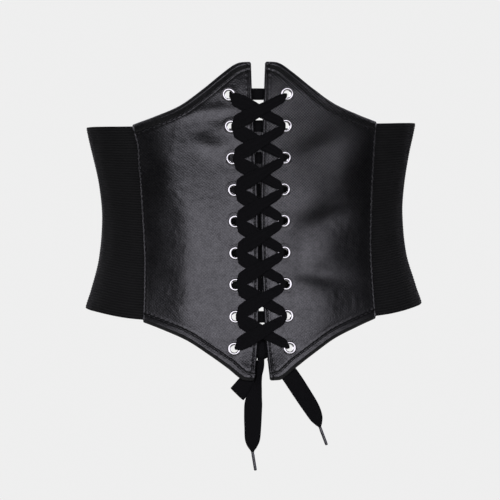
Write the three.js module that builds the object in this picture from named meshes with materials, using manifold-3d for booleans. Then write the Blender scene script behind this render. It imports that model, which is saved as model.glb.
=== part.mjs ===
// A lace-front corset belt, as it sits when it is worn. Millimetres, +Z up, the front faces -Y.
// The origin is the middle of the waist at its narrowest level.
import * as THREE from "three";
import { mergeVertices } from "three/addons/utils/BufferGeometryUtils.js";
import Module from "manifold-3d";

const wasm = await Module();
wasm.setup();

// Inside of the belt at the narrowest level, from the axis to the front and to the back
const WAIST_WIDTH = 225.6;
const WAIST_FRONT = 80;
const WAIST_BACK = 75;

// Heights of the edges above and below the narrowest level
const FRONT_RISE = 111.7;
const FRONT_DROP = 121.2;
const SIDE_RISE = 69;
const SIDE_DROP = 67.6;

// Walls, and the clearance between pieces that touch
const ELASTIC_THICKNESS = 1.6;
const PANEL_THICKNESS = 2;
const CLEARANCE = 0.3;
const SEAM_CLEARANCE = 0.5;

// Front panels: how far the side seam lies from the middle, the slot between them, their hems
const SEAM_REACH = 84;
const SLOT_HALF_WIDTH = 5.5;
const SEAM_OVERLAP = 12;
const HEM_WIDTH = 6.2;
const EDGE_WIDTH = 3.2;
const HEM_ROLL = 0.45;
const CORNER_RADIUS = 1.5;
const FOLD_DEPTH = 1.2;

// Eyelets: nine rows, set in from the slot
const EYELET_ROWS = 9;
const EYELET_TOP = 88;
const EYELET_PITCH = 23.25;
const EYELET_INSET = 16.7;
const EYELET_WIDTH = 9.5;
const EYELET_HOLE = 5.5;
const EYELET_METAL = 0.55;
const EYELET_CROWN = 0.85;
const EYELET_SIDES = 10;

// Lace: a flat braid that is gathered between the eyelets
const LACE_WIDTH = 13;
const LACE_THICKNESS = 0.9;
const LACE_GATHERED = 7.3;
const KNOT_WIDTH = 13;
const KNOT_HEIGHT = 17;
const KNOT_DEPTH = 6.8;
const TIP_LENGTH = 13.8;
const TIP_WIDTH = 2.3;

// Back fastening
const CLASP_WIDTH = 26;
const CLASP_WALL = 1.2;
const CLASP_WEB = 2.4;

// Levels outwards from the skin of the waist
const PANEL_INSIDE = ELASTIC_THICKNESS + SEAM_CLEARANCE;
const PANEL_OUTSIDE = PANEL_INSIDE + PANEL_THICKNESS;
const LACE_BACK = PANEL_INSIDE - EYELET_METAL - CLEARANCE * 2.3 - LACE_THICKNESS / 2;
const LACE_BACK_UNDER = LACE_BACK - LACE_THICKNESS - CLEARANCE;
const LACE_FRONT = PANEL_OUTSIDE + HEM_ROLL + CLEARANCE * 1.4 + LACE_THICKNESS / 2;
const LACE_FRONT_OVER = LACE_FRONT + LACE_THICKNESS + CLEARANCE;
const LACE_ON_RIM = PANEL_OUTSIDE + CLEARANCE + EYELET_CROWN + CLEARANCE + LACE_THICKNESS / 2;
const KNOT_LEVEL = PANEL_INSIDE - CLEARANCE * 2 - KNOT_DEPTH / 2;

// The waist's sections. height is a share of the front's rise above the waist, or of its drop below;
// width, front and back are shares of the waist's own.
const SECTIONS = [
  { height: -1.04, width: 1.185, front: 1.14, back: 1.22 },
  { height: -0.58, width: 1.124, front: 1.07, back: 1.15 },
  { height: -0.45, width: 1.082, front: 1.045, back: 1.105 },
  { height: -0.25, width: 1.023, front: 1.013, back: 1.035 },
  { height: 0, width: 1, front: 1, back: 1 },
  { height: 0.21, width: 1.015, front: 1.007, back: 1.012 },
  { height: 0.41, width: 1.053, front: 1.028, back: 1.045 },
  { height: 0.62, width: 1.097, front: 1.052, back: 1.095 },
  { height: 1.03, width: 1.165, front: 1.1, back: 1.17 },
];

// A panel's outline: across runs from the slot to the side seam, rise and drop are how much of the
// way from the side's edge to the front's peak the upper and the lower edge have gone.
const PANEL_OUTLINE = [
  { across: 0, rise: 1, drop: 1 },
  { across: 0.06, rise: 0.998, drop: 0.998 },
  { across: 0.105, rise: 0.986, drop: 0.986 },
  { across: 0.155, rise: 0.942, drop: 0.93 },
  { across: 0.25, rise: 0.811, drop: 0.788 },
  { across: 0.43, rise: 0.543, drop: 0.549 },
  { across: 0.62, rise: 0.295, drop: 0.314 },
  { across: 0.84, rise: 0.11, drop: 0.122 },
  { across: 1, rise: 0, drop: 0 },
];

// The slot and the side seam by height, as shares of the slot's half width and the seam's reach.
const PANEL_SIDES = [
  { height: -1, slot: 1, seam: 1.03 },
  { height: -0.81, slot: 0.57, seam: 1.01 },
  { height: -0.62, slot: 0.33, seam: 0.998 },
  { height: -0.42, slot: 0.23, seam: 0.984 },
  { height: -0.24, slot: 0.15, seam: 0.976 },
  { height: 0, slot: 0.13, seam: 0.986 },
  { height: 0.17, slot: 0.2, seam: 0.997 },
  { height: 0.37, slot: 0.38, seam: 1.014 },
  { height: 0.58, slot: 0.53, seam: 1.03 },
  { height: 0.79, slot: 0.76, seam: 1.045 },
  { height: 1, slot: 0.9, seam: 1.06 },
];

// The elastic band's edges, from under the panel to the back, as shares of the side's rise and drop.
const BAND_OUTLINE = [
  { along: 0, rise: 0.96, drop: 1.14 },
  { along: 0.1, rise: 0.972, drop: 1.11 },
  { along: 0.25, rise: 0.99, drop: 1.04 },
  { along: 0.42, rise: 1, drop: 1 },
  { along: 0.7, rise: 1.01, drop: 0.985 },
  { along: 1, rise: 1.014, drop: 0.976 },
];
const BAND_ROWS = 10;
const SEAM_RISE = 0.991;
const SEAM_DROP = 1.157;

// The hem's cross-section: how far the outer face stands out, in shares of the hem's roll.
const HEM_SHAPE = [
  { across: 0, lift: -1.6 },
  { across: 0.15, lift: 0.7 },
  { across: 0.82, lift: 0.8 },
  { across: 1, lift: -0.7 },
  { across: 1.3, lift: 0 },
];

// Soft folds in the leather: a middle, a turn from level in degrees, a length and a width in shares of
// the panel's width, and a height in shares of the fold depth.
const FOLDS = {
  left: [
    { across: 0.38, up: 0.84, turn: 24, length: 0.2, width: 0.06, depth: 0.7 },
    { across: 0.52, up: 0.72, turn: 20, length: 0.24, width: 0.08, depth: -0.9 },
    { across: 0.6, up: 0.52, turn: 82, length: 0.4, width: 0.1, depth: 0.8 },
    { across: 0.58, up: 0.3, turn: 36, length: 0.22, width: 0.07, depth: -0.9 },
    { across: 0.44, up: 0.18, turn: 52, length: 0.16, width: 0.06, depth: 0.8 },
  ],
  right: [
    { across: 0.44, up: 0.8, turn: 18, length: 0.24, width: 0.07, depth: 0.7 },
    { across: 0.56, up: 0.58, turn: -28, length: 0.26, width: 0.08, depth: -1 },
    { across: 0.5, up: 0.44, turn: -34, length: 0.26, width: 0.07, depth: 0.8 },
    { across: 0.66, up: 0.33, turn: 70, length: 0.28, width: 0.09, depth: -0.7 },
    { across: 0.46, up: 0.2, turn: -48, length: 0.18, width: 0.06, depth: 0.8 },
  ],
};

// An eyelet in section: the crown and the washer behind reach this share of the way from the hole's
// edge to the flange's edge, and the flange's inner lip has this share of the crown's height.
const CROWN_PLACE = 0.5;
const WASHER_REACH = 0.84;
const LIP_HEIGHT = 0.7;

// The lace in an eyelet, in shares of the hole: its size, how far it lies from the hole's middle
// towards the slot, and how far beside the middle, so that two strands share one hole.
const IN_HOLE = { width: 0.29, thick: 0.27, towardsSlot: 0.165, beside: 0.175 };
const BEND_RISE = 0.2;
const NARROW_ON_RIM = 3.6;
const NARROW_BEHIND = 2;
const SPREAD_BEHIND = 7;

// Routes of the free lace ends, chosen by hand: x and z of the middle line, the level outwards from
// the skin, the width and the thickness. Below the panels the ends hang straight down.
const TAIL_LEFT = [
  { x: -0.7, z: -106.1, out: -1, width: 5, thick: 1.5 },
  { x: -1.6, z: -111, out: -0.6, width: 4.8, thick: 1.8 },
  { x: -2.6, z: -120.5, out: -0.5, width: 4.2, thick: 1.8 },
  { x: -4.4, z: -128, out: -0.3, width: 8.2, thick: 1.6 },
  { x: -6.6, z: -136, out: -0.2, width: 12.6, thick: 1 },
  { x: -7.3, z: -146, out: -0.2, width: 13, thick: 0.9 },
  { x: -7.6, z: -156, out: -0.2, width: 12.2, thick: 0.9 },
  { x: -7.9, z: -163.5, out: -0.2, width: 11, thick: 0.9 },
  { x: -8, z: -169.2, out: -0.2, width: 7, thick: 1.1 },
  { x: -8, z: -172.4, out: -0.2, width: 2.4, thick: 1.4 },
];
const TIP_LEFT = { x: -8, z: -172.85, leanX: 0.148 };
const TAIL_RIGHT = [
  { x: 5.6, z: -103.7, out: -1.7, width: 6.2, thick: 1.4 },
  { x: 10.4, z: -107, out: -1.6, width: 9.8, thick: 1.2 },
  { x: 15, z: -110.6, out: -1.2, width: 12.4, thick: 0.9 },
  { x: 20.4, z: -117.4, out: -0.8, width: 13, thick: 0.9 },
  { x: 29.9, z: -132.4, out: -0.3, width: 12.8, thick: 0.9 },
  { x: 36, z: -142.2, out: -0.2, width: 12, thick: 0.9 },
  { x: 39.6, z: -149.4, out: -0.2, width: 9.6, thick: 0.9 },
  { x: 41.4, z: -154, out: -0.2, width: 5, thick: 1.1 },
  { x: 42, z: -156, out: -0.2, width: 2.2, thick: 1.4 },
];
const TIP_RIGHT = { x: 42.1, z: -156.3, leanX: 0.36 };
const LOOP = { startX: -0.8, startZ: -107, endX: -18.8, endZ: -130.8, curve: 1.35, out: -2.8, apart: 1.9 };

// A table's column between its rows, on a smooth curve through them, and straight on past the ends.
function fromTable(rows, key, column, value) {
  const last = rows.length - 1;
  const slopeAt = (row) => {
    const before = rows[Math.max(row - 1, 0)];
    const after = rows[Math.min(row + 1, last)];
    return (after[column] - before[column]) / (after[key] - before[key]);
  };
  if (value <= rows[0][key]) return rows[0][column] + slopeAt(0) * (value - rows[0][key]);
  if (value >= rows[last][key]) return rows[last][column] + slopeAt(last) * (value - rows[last][key]);
  const row = rows.findIndex((next) => next[key] > value) - 1;
  const span = rows[row + 1][key] - rows[row][key];
  const t = (value - rows[row][key]) / span;
  const bend = (1 - t) * (1 - t) * t * slopeAt(row) * span - (1 - t) * t * t * slopeAt(row + 1) * span;
  const ease = t * t * (3 - 2 * t);
  return rows[row][column] * (1 - ease) + rows[row + 1][column] * ease + bend;
}

const heightShare = (z) => (z > 0 ? z / FRONT_RISE : z / FRONT_DROP);
const section = (column, z) => fromTable(SECTIONS, "height", column, heightShare(z));
const halfWidth = (z) => (WAIST_WIDTH / 2) * section("width", z);
const slotEdge = (z) => SLOT_HALF_WIDTH * fromTable(PANEL_SIDES, "height", "slot", heightShare(z));
const seamReach = (z) => SEAM_REACH * fromTable(PANEL_SIDES, "height", "seam", heightShare(z));

// A point on the skin of the waist: two half ellipses that share their width. The angle starts at the
// middle of the front and turns towards +X. Below the panels the skin goes straight down.
function skin(angle, z) {
  const level = Math.max(z, -FRONT_DROP);
  const inFront = Math.cos(angle) > 0;
  const depth = inFront ? WAIST_FRONT * section("front", level) : WAIST_BACK * section("back", level);
  return new THREE.Vector3(halfWidth(level) * Math.sin(angle), -depth * Math.cos(angle), z);
}

// The same point moved outwards by a distance, with the directions that lie across and up the skin.
function place(angle, z, out) {
  const STEP = 0.01;
  const along = skin(angle + STEP, z).sub(skin(angle - STEP, z)).normalize();
  const rising = skin(angle, z + 1).sub(skin(angle, z - 1)).normalize();
  const normal = new THREE.Vector3().crossVectors(along, rising).normalize();
  const up = new THREE.Vector3().crossVectors(normal, along).normalize();
  return { point: skin(angle, z).addScaledVector(normal, out), normal, along, up };
}

const angleOf = (x, z) => Math.asin(THREE.MathUtils.clamp(x / halfWidth(Math.max(z, -FRONT_DROP)), -1, 1));
const onFront = (x, z, out) => place(angleOf(x, z), z, out);

// A mesh's geometry from points and triangles, turned round when it is a mirror image.
function geometryOf(points, triangles, mirrored = false) {
  const geometry = new THREE.BufferGeometry();
  geometry.setFromPoints(points);
  const turned = mirrored ? triangles.map(([a, b, c]) => [a, c, b]) : triangles;
  geometry.setIndex(turned.flat());
  return geometry;
}

// A wall: two faces over one grid, closed round its edge.
function wallGeometry(columns, rows, outer, inner, mirrored) {
  const points = [];
  const triangles = [];
  const faceSize = columns * rows;
  const quad = (a, b, c, d) => triangles.push([a, b, c], [a, c, d]);
  for (const face of [outer, inner]) {
    for (let row = 0; row < rows; row++) {
      for (let column = 0; column < columns; column++) points.push(face(column, row));
    }
  }
  const at = (column, row) => row * columns + column;
  for (let row = 0; row < rows - 1; row++) {
    for (let column = 0; column < columns - 1; column++) {
      const a = at(column, row);
      const b = at(column + 1, row);
      const c = at(column + 1, row + 1);
      const d = at(column, row + 1);
      quad(a, b, c, d);
      quad(d + faceSize, c + faceSize, b + faceSize, a + faceSize);
    }
  }
  const rim = [];
  for (let column = 0; column < columns - 1; column++) rim.push(at(column, 0));
  for (let row = 0; row < rows - 1; row++) rim.push(at(columns - 1, row));
  for (let column = columns - 1; column > 0; column--) rim.push(at(column, rows - 1));
  for (let row = rows - 1; row > 0; row--) rim.push(at(0, row));
  rim.forEach((a, index) => {
    const b = rim[(index + 1) % rim.length];
    quad(b, a, a + faceSize, b + faceSize);
  });
  return geometryOf(points, triangles, mirrored);
}

// A flat ribbon through its stations. Each has a frame on the skin, a lean that turns the ribbon's
// width away from upright, and a turn that tips its face from outwards towards its way forward.
function ribbonGeometry(stations, mirrored) {
  const points = [];
  for (const station of stations) {
    const { point, normal, along, up } = onFront(station.x, station.z, station.out);
    const lean = THREE.MathUtils.degToRad(station.lean);
    const turn = THREE.MathUtils.degToRad(station.turn || 0);
    const across = up.clone().multiplyScalar(Math.cos(lean)).addScaledVector(along, Math.sin(lean));
    const forward = along.clone().multiplyScalar(-Math.cos(lean)).addScaledVector(up, Math.sin(lean));
    const face = normal.clone().multiplyScalar(Math.cos(turn)).addScaledVector(forward, Math.sin(turn));
    for (const [side, layer] of [[1, 1], [-1, 1], [-1, -1], [1, -1]]) {
      const corner = point.clone().addScaledVector(across, (side * station.width) / 2);
      corner.addScaledVector(face, (layer * station.thick) / 2);
      if (mirrored) corner.x *= -1;
      points.push(corner);
    }
  }
  const triangles = [];
  for (let ring = 0; ring < stations.length - 1; ring++) {
    for (let side = 0; side < 4; side++) {
      const a = ring * 4 + side;
      const b = ring * 4 + ((side + 1) % 4);
      triangles.push([a, b + 4, b], [a, a + 4, b + 4]);
    }
  }
  const end = points.length - 4;
  triangles.push([0, 1, 2], [0, 2, 3], [end, end + 2, end + 1], [end, end + 3, end + 2]);
  return geometryOf(points, triangles, mirrored);
}

function solidOf(geometry) {
  const bare = geometry.clone();
  bare.deleteAttribute("normal");
  bare.deleteAttribute("uv");
  const merged = mergeVertices(bare, 1e-4);
  return new wasm.Manifold(
    new wasm.Mesh({
      numProp: 3,
      vertProperties: new Float32Array(merged.attributes.position.array),
      triVerts: new Uint32Array(merged.index.array),
    }),
  );
}

function geometryFromSolid(solid) {
  const mesh = solid.getMesh();
  const geometry = new THREE.BufferGeometry();
  geometry.setAttribute("position", new THREE.BufferAttribute(new Float32Array(mesh.vertProperties), 3));
  geometry.setIndex(new THREE.BufferAttribute(new Uint32Array(mesh.triVerts), 1));
  return geometry;
}

// Upper and lower edge of a panel, with the corner at the slot rounded off.
function panelEdges(across) {
  const seamTop = SIDE_RISE * SEAM_RISE;
  const seamBottom = SIDE_DROP * SEAM_DROP;
  const fromSlot = Math.max(0, across * SEAM_REACH);
  const inCorner = Math.max(0, CORNER_RADIUS - fromSlot);
  const cut = CORNER_RADIUS - Math.sqrt(CORNER_RADIUS ** 2 - inCorner ** 2);
  const rise = fromTable(PANEL_OUTLINE, "across", "rise", across);
  const drop = fromTable(PANEL_OUTLINE, "across", "drop", across);
  return {
    top: seamTop + (FRONT_RISE - seamTop) * rise - cut,
    bottom: -seamBottom - (FRONT_DROP - seamBottom) * drop + cut,
  };
}

// How much taller the hem stands where its edge runs aslant, so that it keeps its width.
function hemStretch(across, edge) {
  const STEP = 0.03;
  const pastCorner = CORNER_RADIUS / SEAM_REACH;
  const from = Math.max(across - STEP, pastCorner);
  const to = Math.max(across, pastCorner) + STEP;
  const climb = panelEdges(to)[edge] - panelEdges(from)[edge];
  const run = ((to - from) * SEAM_REACH) / Math.cos(angleOf(across * SEAM_REACH, 0));
  return Math.hypot(1, climb / run);
}

const smoothStep = (low, high, value) => THREE.MathUtils.smoothstep(value, low, high);

function foldHeight(folds, across, up, x, z) {
  const eyeletColumn = slotEdge(z) + EYELET_INSET;
  const clearOfLace = smoothStep(eyeletColumn + EYELET_WIDTH, eyeletColumn + 2 * EYELET_WIDTH, x);
  const clearOfSeam = 1 - smoothStep(SEAM_REACH - 2.4 * SEAM_OVERLAP, SEAM_REACH - 1.4 * SEAM_OVERLAP, x);
  let height = 0;
  for (const fold of folds) {
    const turn = THREE.MathUtils.degToRad(fold.turn);
    const right = across - fold.across;
    const above = ((up - fold.up) * (FRONT_RISE + FRONT_DROP)) / SEAM_REACH;
    const lengthwise = (right * Math.cos(turn) + above * Math.sin(turn)) / fold.length;
    const crosswise = (above * Math.cos(turn) - right * Math.sin(turn)) / fold.width;
    height += fold.depth * Math.exp(-lengthwise * lengthwise - crosswise * crosswise);
  }
  return height * FOLD_DEPTH * clearOfLace * clearOfSeam;
}

// The grid lines of a panel: those of the hem at each end, and evenly spaced ones between.
function gridLines(hemWidth, between) {
  const lines = HEM_SHAPE.map((line) => ({ share: 0, inset: line.across * hemWidth, lift: line.lift }));
  for (let i = 1; i <= between; i++) lines.push({ share: i / (between + 1), inset: 0, lift: 0 });
  for (const line of [...HEM_SHAPE].reverse()) {
    lines.push({ share: 1, inset: -line.across * hemWidth, lift: line.lift });
  }
  return lines;
}

function panelGeometry(side) {
  const BETWEEN_COLUMNS = 9;
  const BETWEEN_ROWS = 12;
  const sign = side === "left" ? -1 : 1;
  const columns = gridLines(EDGE_WIDTH, BETWEEN_COLUMNS);
  const rows = gridLines(HEM_WIDTH, BETWEEN_ROWS);
  const onPanel = (column, row, level, lifted) => {
    const across = columns[column].share + columns[column].inset / SEAM_REACH;
    const edges = panelEdges(across);
    const stretch = hemStretch(across, rows[row].share < 0.5 ? "bottom" : "top");
    const z = edges.bottom + (edges.top - edges.bottom) * rows[row].share + rows[row].inset * stretch;
    const x = slotEdge(z) + (seamReach(z) - slotEdge(z)) * columns[column].share + columns[column].inset;
    const raised = THREE.MathUtils.clamp(rows[row].lift + columns[column].lift, -2, 1);
    const lift = lifted ? HEM_ROLL * raised : 0;
    const up = (z - edges.bottom) / (edges.top - edges.bottom);
    return onFront(sign * x, z, level + lift + foldHeight(FOLDS[side], across, up, x, z)).point;
  };
  const outer = (column, row) => onPanel(column, row, PANEL_OUTSIDE, true);
  const inner = (column, row) => onPanel(column, row, PANEL_INSIDE, false);
  let solid = solidOf(wallGeometry(columns.length, rows.length, outer, inner, side === "left"));
  for (let row = 1; row <= EYELET_ROWS; row++) solid = solid.subtract(solidOf(eyeletCutter(side, row)));
  return geometryFromSolid(solid);
}

const eyeletHeight = (row) => EYELET_TOP - (row - 1) * EYELET_PITCH;
const eyeletX = (row) => slotEdge(eyeletHeight(row)) + EYELET_INSET;

// Where an eyelet sits: its middle on the skin, with +Z of the matrix along its hole.
function eyeletMatrix(side, row) {
  const sign = side === "left" ? -1 : 1;
  const { point, normal, along, up } = onFront(sign * eyeletX(row), eyeletHeight(row), 0);
  return new THREE.Matrix4().makeBasis(along, up, normal).setPosition(point);
}

function eyeletCutter(side, row) {
  const apothem = Math.cos(Math.PI / EYELET_SIDES);
  const radius = (EYELET_HOLE / 2 + EYELET_METAL + CLEARANCE) / apothem;
  const length = PANEL_THICKNESS * 4;
  const cutter = new THREE.CylinderGeometry(radius, radius, length, EYELET_SIDES);
  cutter.rotateX(Math.PI / 2);
  cutter.translate(0, 0, PANEL_INSIDE + PANEL_THICKNESS / 2);
  return cutter.applyMatrix4(eyeletMatrix(side, row));
}

// An eyelet, turned about its hole: a domed flange in front, a barrel, and a washer behind.
function eyeletGeometry() {
  const hole = EYELET_HOLE / 2;
  const rim = EYELET_WIDTH / 2;
  const flange = PANEL_OUTSIDE + CLEARANCE;
  const washer = PANEL_INSIDE - CLEARANCE;
  const profile = [
    [hole, washer - EYELET_METAL],
    [hole + (rim - hole) * WASHER_REACH, washer - EYELET_METAL / 2],
    [hole + EYELET_METAL, washer],
    [hole + EYELET_METAL, flange],
    [rim, flange],
    [hole + (rim - hole) * CROWN_PLACE, flange + EYELET_CROWN],
    [hole, flange + EYELET_CROWN * LIP_HEIGHT],
    [hole, washer - EYELET_METAL],
  ].map(([radius, height]) => new THREE.Vector2(radius, height));
  return new THREE.LatheGeometry(profile, EYELET_SIDES, -Math.PI / EYELET_SIDES).rotateX(Math.PI / 2);
}

function bandGeometry(side) {
  const COLUMNS = 16;
  const ROWS = BAND_ROWS;
  const sign = side === "left" ? -1 : 1;
  const backGap = CLASP_WEB / 2 + CLEARANCE;
  const onBand = (column, row, out) => {
    const along = column / (COLUMNS - 1);
    const top = SIDE_RISE * fromTable(BAND_OUTLINE, "along", "rise", along);
    const bottom = -SIDE_DROP * fromTable(BAND_OUTLINE, "along", "drop", along);
    const z = bottom + ((top - bottom) * row) / (ROWS - 1);
    const front = angleOf(seamReach(z) - SEAM_OVERLAP, z);
    const back = Math.PI - Math.asin(backGap / halfWidth(z));
    return place(sign * (front + (back - front) * along), z, out).point;
  };
  const outer = (column, row) => onBand(column, row, ELASTIC_THICKNESS);
  const inner = (column, row) => onBand(column, row, 0);
  return wallGeometry(COLUMNS, ROWS, outer, inner, side === "left");
}

// The strip that joins the bands behind: an outer and an inner flap either side of the bands' ends.
function claspGeometry() {
  const ROWS = BAND_ROWS;
  const reach = CLASP_WIDTH / 2;
  const web = CLASP_WEB / 2;
  const middle = (reach + web) / 2;
  const inside = -CLEARANCE * 1.5;
  const outside = ELASTIC_THICKNESS + CLEARANCE;
  const half = [
    [web, inside],
    [middle, inside],
    [reach, inside],
    [reach, inside - CLASP_WALL],
    [middle, inside - CLASP_WALL],
  ];
  const outerHalf = [
    [middle, outside + CLASP_WALL],
    [reach, outside + CLASP_WALL],
    [reach, outside],
    [middle, outside],
    [web, outside],
  ];
  const mirror = (pairs) => pairs.map(([x, out]) => [-x, out]).reverse();
  const outline = [...outerHalf, ...half, ...mirror(half), ...mirror(outerHalf)];
  const last = BAND_OUTLINE[BAND_OUTLINE.length - 1];
  const [top, bottom] = [SIDE_RISE * last.rise, -SIDE_DROP * last.drop];
  const points = [];
  for (let row = 0; row < ROWS; row++) {
    const z = bottom + ((top - bottom) * row) / (ROWS - 1);
    for (const [x, out] of outline) points.push(place(Math.PI - Math.asin(x / halfWidth(z)), z, out).point);
  }
  const count = outline.length;
  const triangles = [];
  for (let row = 0; row < ROWS - 1; row++) {
    for (let i = 0; i < count; i++) {
      const a = row * count + i;
      const b = row * count + ((i + 1) % count);
      triangles.push([a, b + count, b], [a, a + count, b + count]);
    }
  }
  const flat = outline.map(([x, out]) => new THREE.Vector2(x, out));
  for (const [a, b, c] of THREE.ShapeUtils.triangulateShape(flat, [])) {
    triangles.push([a, c, b], [(ROWS - 1) * count + a, (ROWS - 1) * count + b, (ROWS - 1) * count + c]);
  }
  return geometryOf(points, triangles);
}

// One of the two crossing strands, as it runs on the wearer's own side; the other is its mirror image.
// It comes out of the eyelet at +X, crosses the front down to the next one at -X, goes in and returns
// behind. Gathered distances are measured from an eyelet's middle towards the slot.
function strandStations({ over, under, firstRun }) {
  const inHole = { width: EYELET_HOLE * IN_HOLE.width, thick: EYELET_HOLE * IN_HOLE.thick };
  const fromMiddle = EYELET_HOLE * IN_HOLE.towardsSlot;
  const beside = EYELET_HOLE * IN_HOLE.beside;
  const onRim = EYELET_HOLE / 2 + EYELET_METAL;
  const pastRim = EYELET_WIDTH / 2 + 1.5 * LACE_THICKNESS;
  const middleOfHole = PANEL_INSIDE + PANEL_THICKNESS / 2;
  const stations = [];
  const inwards = (row, sign, distance) => sign * (eyeletX(row) - distance);
  const put = (x, z, out, width, thick, lean, turn) =>
    stations.push({ x, z, out, width, thick, lean, turn });

  const hole = (row, sign, turn, out = middleOfHole) => {
    const z = eyeletHeight(row) - sign * beside;
    put(inwards(row, sign, fromMiddle), z, out, inHole.width, inHole.thick, 0, turn);
  };
  const bend = (row, sign, turn, out) => {
    const x = inwards(row, sign, fromMiddle * 1.15);
    put(x, eyeletHeight(row) - sign * beside, out, inHole.width * 1.1, inHole.thick * 0.86, 0, turn);
  };
  const behind = (row, sign, distance, width, level) => {
    const drop = sign * beside * (distance > onRim ? 0.4 : 1.1);
    put(inwards(row, sign, distance), eyeletHeight(row) - drop, level, width, LACE_THICKNESS, 0, 180);
  };
  const backRun = (row, level) => {
    bend(row, -1, 135, level - BEND_RISE);
    behind(row, -1, onRim, NARROW_BEHIND, level);
    behind(row, -1, SPREAD_BEHIND, LACE_GATHERED, level);
    behind(row, 1, SPREAD_BEHIND, LACE_GATHERED, level);
    behind(row, 1, onRim, NARROW_BEHIND, level);
    bend(row, 1, 225, level - BEND_RISE);
  };
  const frontRun = (row) => {
    const [fromX, toX] = [eyeletX(row), -eyeletX(row + 1)];
    const [fromZ, toZ] = [eyeletHeight(row) - beside, eyeletHeight(row + 1) + beside];
    const slope = Math.atan2(fromZ - toZ, fromX - toX);
    const lean = -THREE.MathUtils.radToDeg(slope);
    const level = (x) => fromZ + ((x - fromX) / (toX - fromX)) * (toZ - fromZ);
    const crossing = LACE_GATHERED / 2 / Math.sin(slope) + LACE_THICKNESS;
    const wide = LACE_GATHERED;
    const line = [
      { x: fromX - onRim, out: LACE_ON_RIM, width: NARROW_ON_RIM, lean: lean / 2 },
      { x: fromX - pastRim, out: LACE_FRONT + BEND_RISE, width: wide * 0.86, lean },
      { x: crossing, out: over, width: wide, lean },
      { x: 0, out: over, width: wide, lean },
      { x: -crossing, out: over, width: wide, lean },
      { x: toX + pastRim, out: LACE_FRONT + BEND_RISE, width: wide * 0.86, lean },
      { x: toX + onRim, out: LACE_ON_RIM, width: NARROW_ON_RIM, lean: lean / 2 },
    ];
    for (const spot of line) {
      put(spot.x, level(spot.x), spot.out, spot.width, LACE_THICKNESS, spot.lean, 0);
    }
  };

  if (firstRun) {
    hole(1, -1, 90, middleOfHole - CLEARANCE);
    backRun(1, under);
    hole(1, 1, 270);
  } else {
    hole(1, 1, 270, middleOfHole + CLEARANCE);
  }
  for (let row = 1; row < EYELET_ROWS; row++) {
    bend(row, 1, 315, LACE_ON_RIM + BEND_RISE);
    frontRun(row);
    bend(row + 1, -1, 45, LACE_ON_RIM + BEND_RISE);
    hole(row + 1, -1, 90);
    if (row + 1 < EYELET_ROWS) {
      backRun(row + 1, under);
      hole(row + 1, 1, 270);
    }
  }
  const knotSide = -(KNOT_WIDTH / 2 + CLEARANCE);
  const lastHeight = eyeletHeight(EYELET_ROWS);
  const halfWay = (knotSide + inwards(EYELET_ROWS, -1, onRim)) / 2;
  bend(EYELET_ROWS, -1, 135, LACE_BACK - BEND_RISE);
  behind(EYELET_ROWS, -1, onRim, NARROW_BEHIND, LACE_BACK);
  put(halfWay, lastHeight, (LACE_BACK + KNOT_LEVEL) / 2, LACE_GATHERED * 0.7, LACE_THICKNESS, 0, 180);
  put(knotSide, lastHeight, KNOT_LEVEL, LACE_GATHERED * 0.6, LACE_THICKNESS, 0, 180);
  return stations;
}

// The ends' route as ribbon stations: the ribbon leans so that its length follows the route.
function tailStations(route) {
  return route.map((spot, index) => {
    const before = route[Math.max(index - 1, 0)];
    const after = route[Math.min(index + 1, route.length - 1)];
    const lean = THREE.MathUtils.radToDeg(Math.atan2(after.z - before.z, before.x - after.x));
    return { ...spot, lean };
  });
}

// The bow's loop: the lace laid double, open at its end. It leaves the knot downwards and bends aside.
function loopStations() {
  const { startX, startZ, endX, endZ, curve, out, apart } = LOOP;
  const leanAt = (share) => Math.atan2(endZ - startZ, (startX - endX) * curve * share ** (curve - 1));
  const spot = (share, level, width, turn) => ({
    x: startX + (endX - startX) * share ** curve,
    z: startZ + (endZ - startZ) * share,
    out: level,
    width,
    thick: LACE_THICKNESS,
    lean: THREE.MathUtils.radToDeg(leanAt(share)),
    turn,
  });
  return [
    spot(0, out, LACE_WIDTH * 0.42, 0),
    spot(0.35, out, LACE_WIDTH * 0.9, 0),
    spot(0.7, out, LACE_WIDTH, 0),
    spot(0.96, out, LACE_WIDTH, 10),
    spot(1, out - apart / 2, LACE_WIDTH, 90),
    spot(0.96, out - apart, LACE_WIDTH, 170),
    spot(0.7, out - apart, LACE_WIDTH, 180),
    spot(0.35, out - apart, LACE_WIDTH * 0.9, 180),
    spot(0, out - apart, LACE_WIDTH * 0.42, 180),
  ];
}

// The knot: a rounded lump, pinched where the lace turns round its middle.
function knotMesh(material) {
  const knot = new THREE.SphereGeometry(0.5, 12, 8);
  const position = knot.getAttribute("position");
  for (let i = 0; i < position.count; i++) {
    const [x, y, z] = [position.getX(i), position.getY(i), position.getZ(i)];
    const pinch = 1 - 0.16 * Math.exp(-((x / 0.14) ** 2));
    position.setXYZ(i, x * KNOT_WIDTH, y * KNOT_HEIGHT * pinch, z * KNOT_DEPTH * pinch);
  }
  const { point, normal, along, up } = onFront(0, eyeletHeight(EYELET_ROWS), KNOT_LEVEL);
  const mesh = new THREE.Mesh(knot, material);
  mesh.applyMatrix4(new THREE.Matrix4().makeBasis(along, up, normal).setPosition(point));
  return mesh;
}

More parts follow.
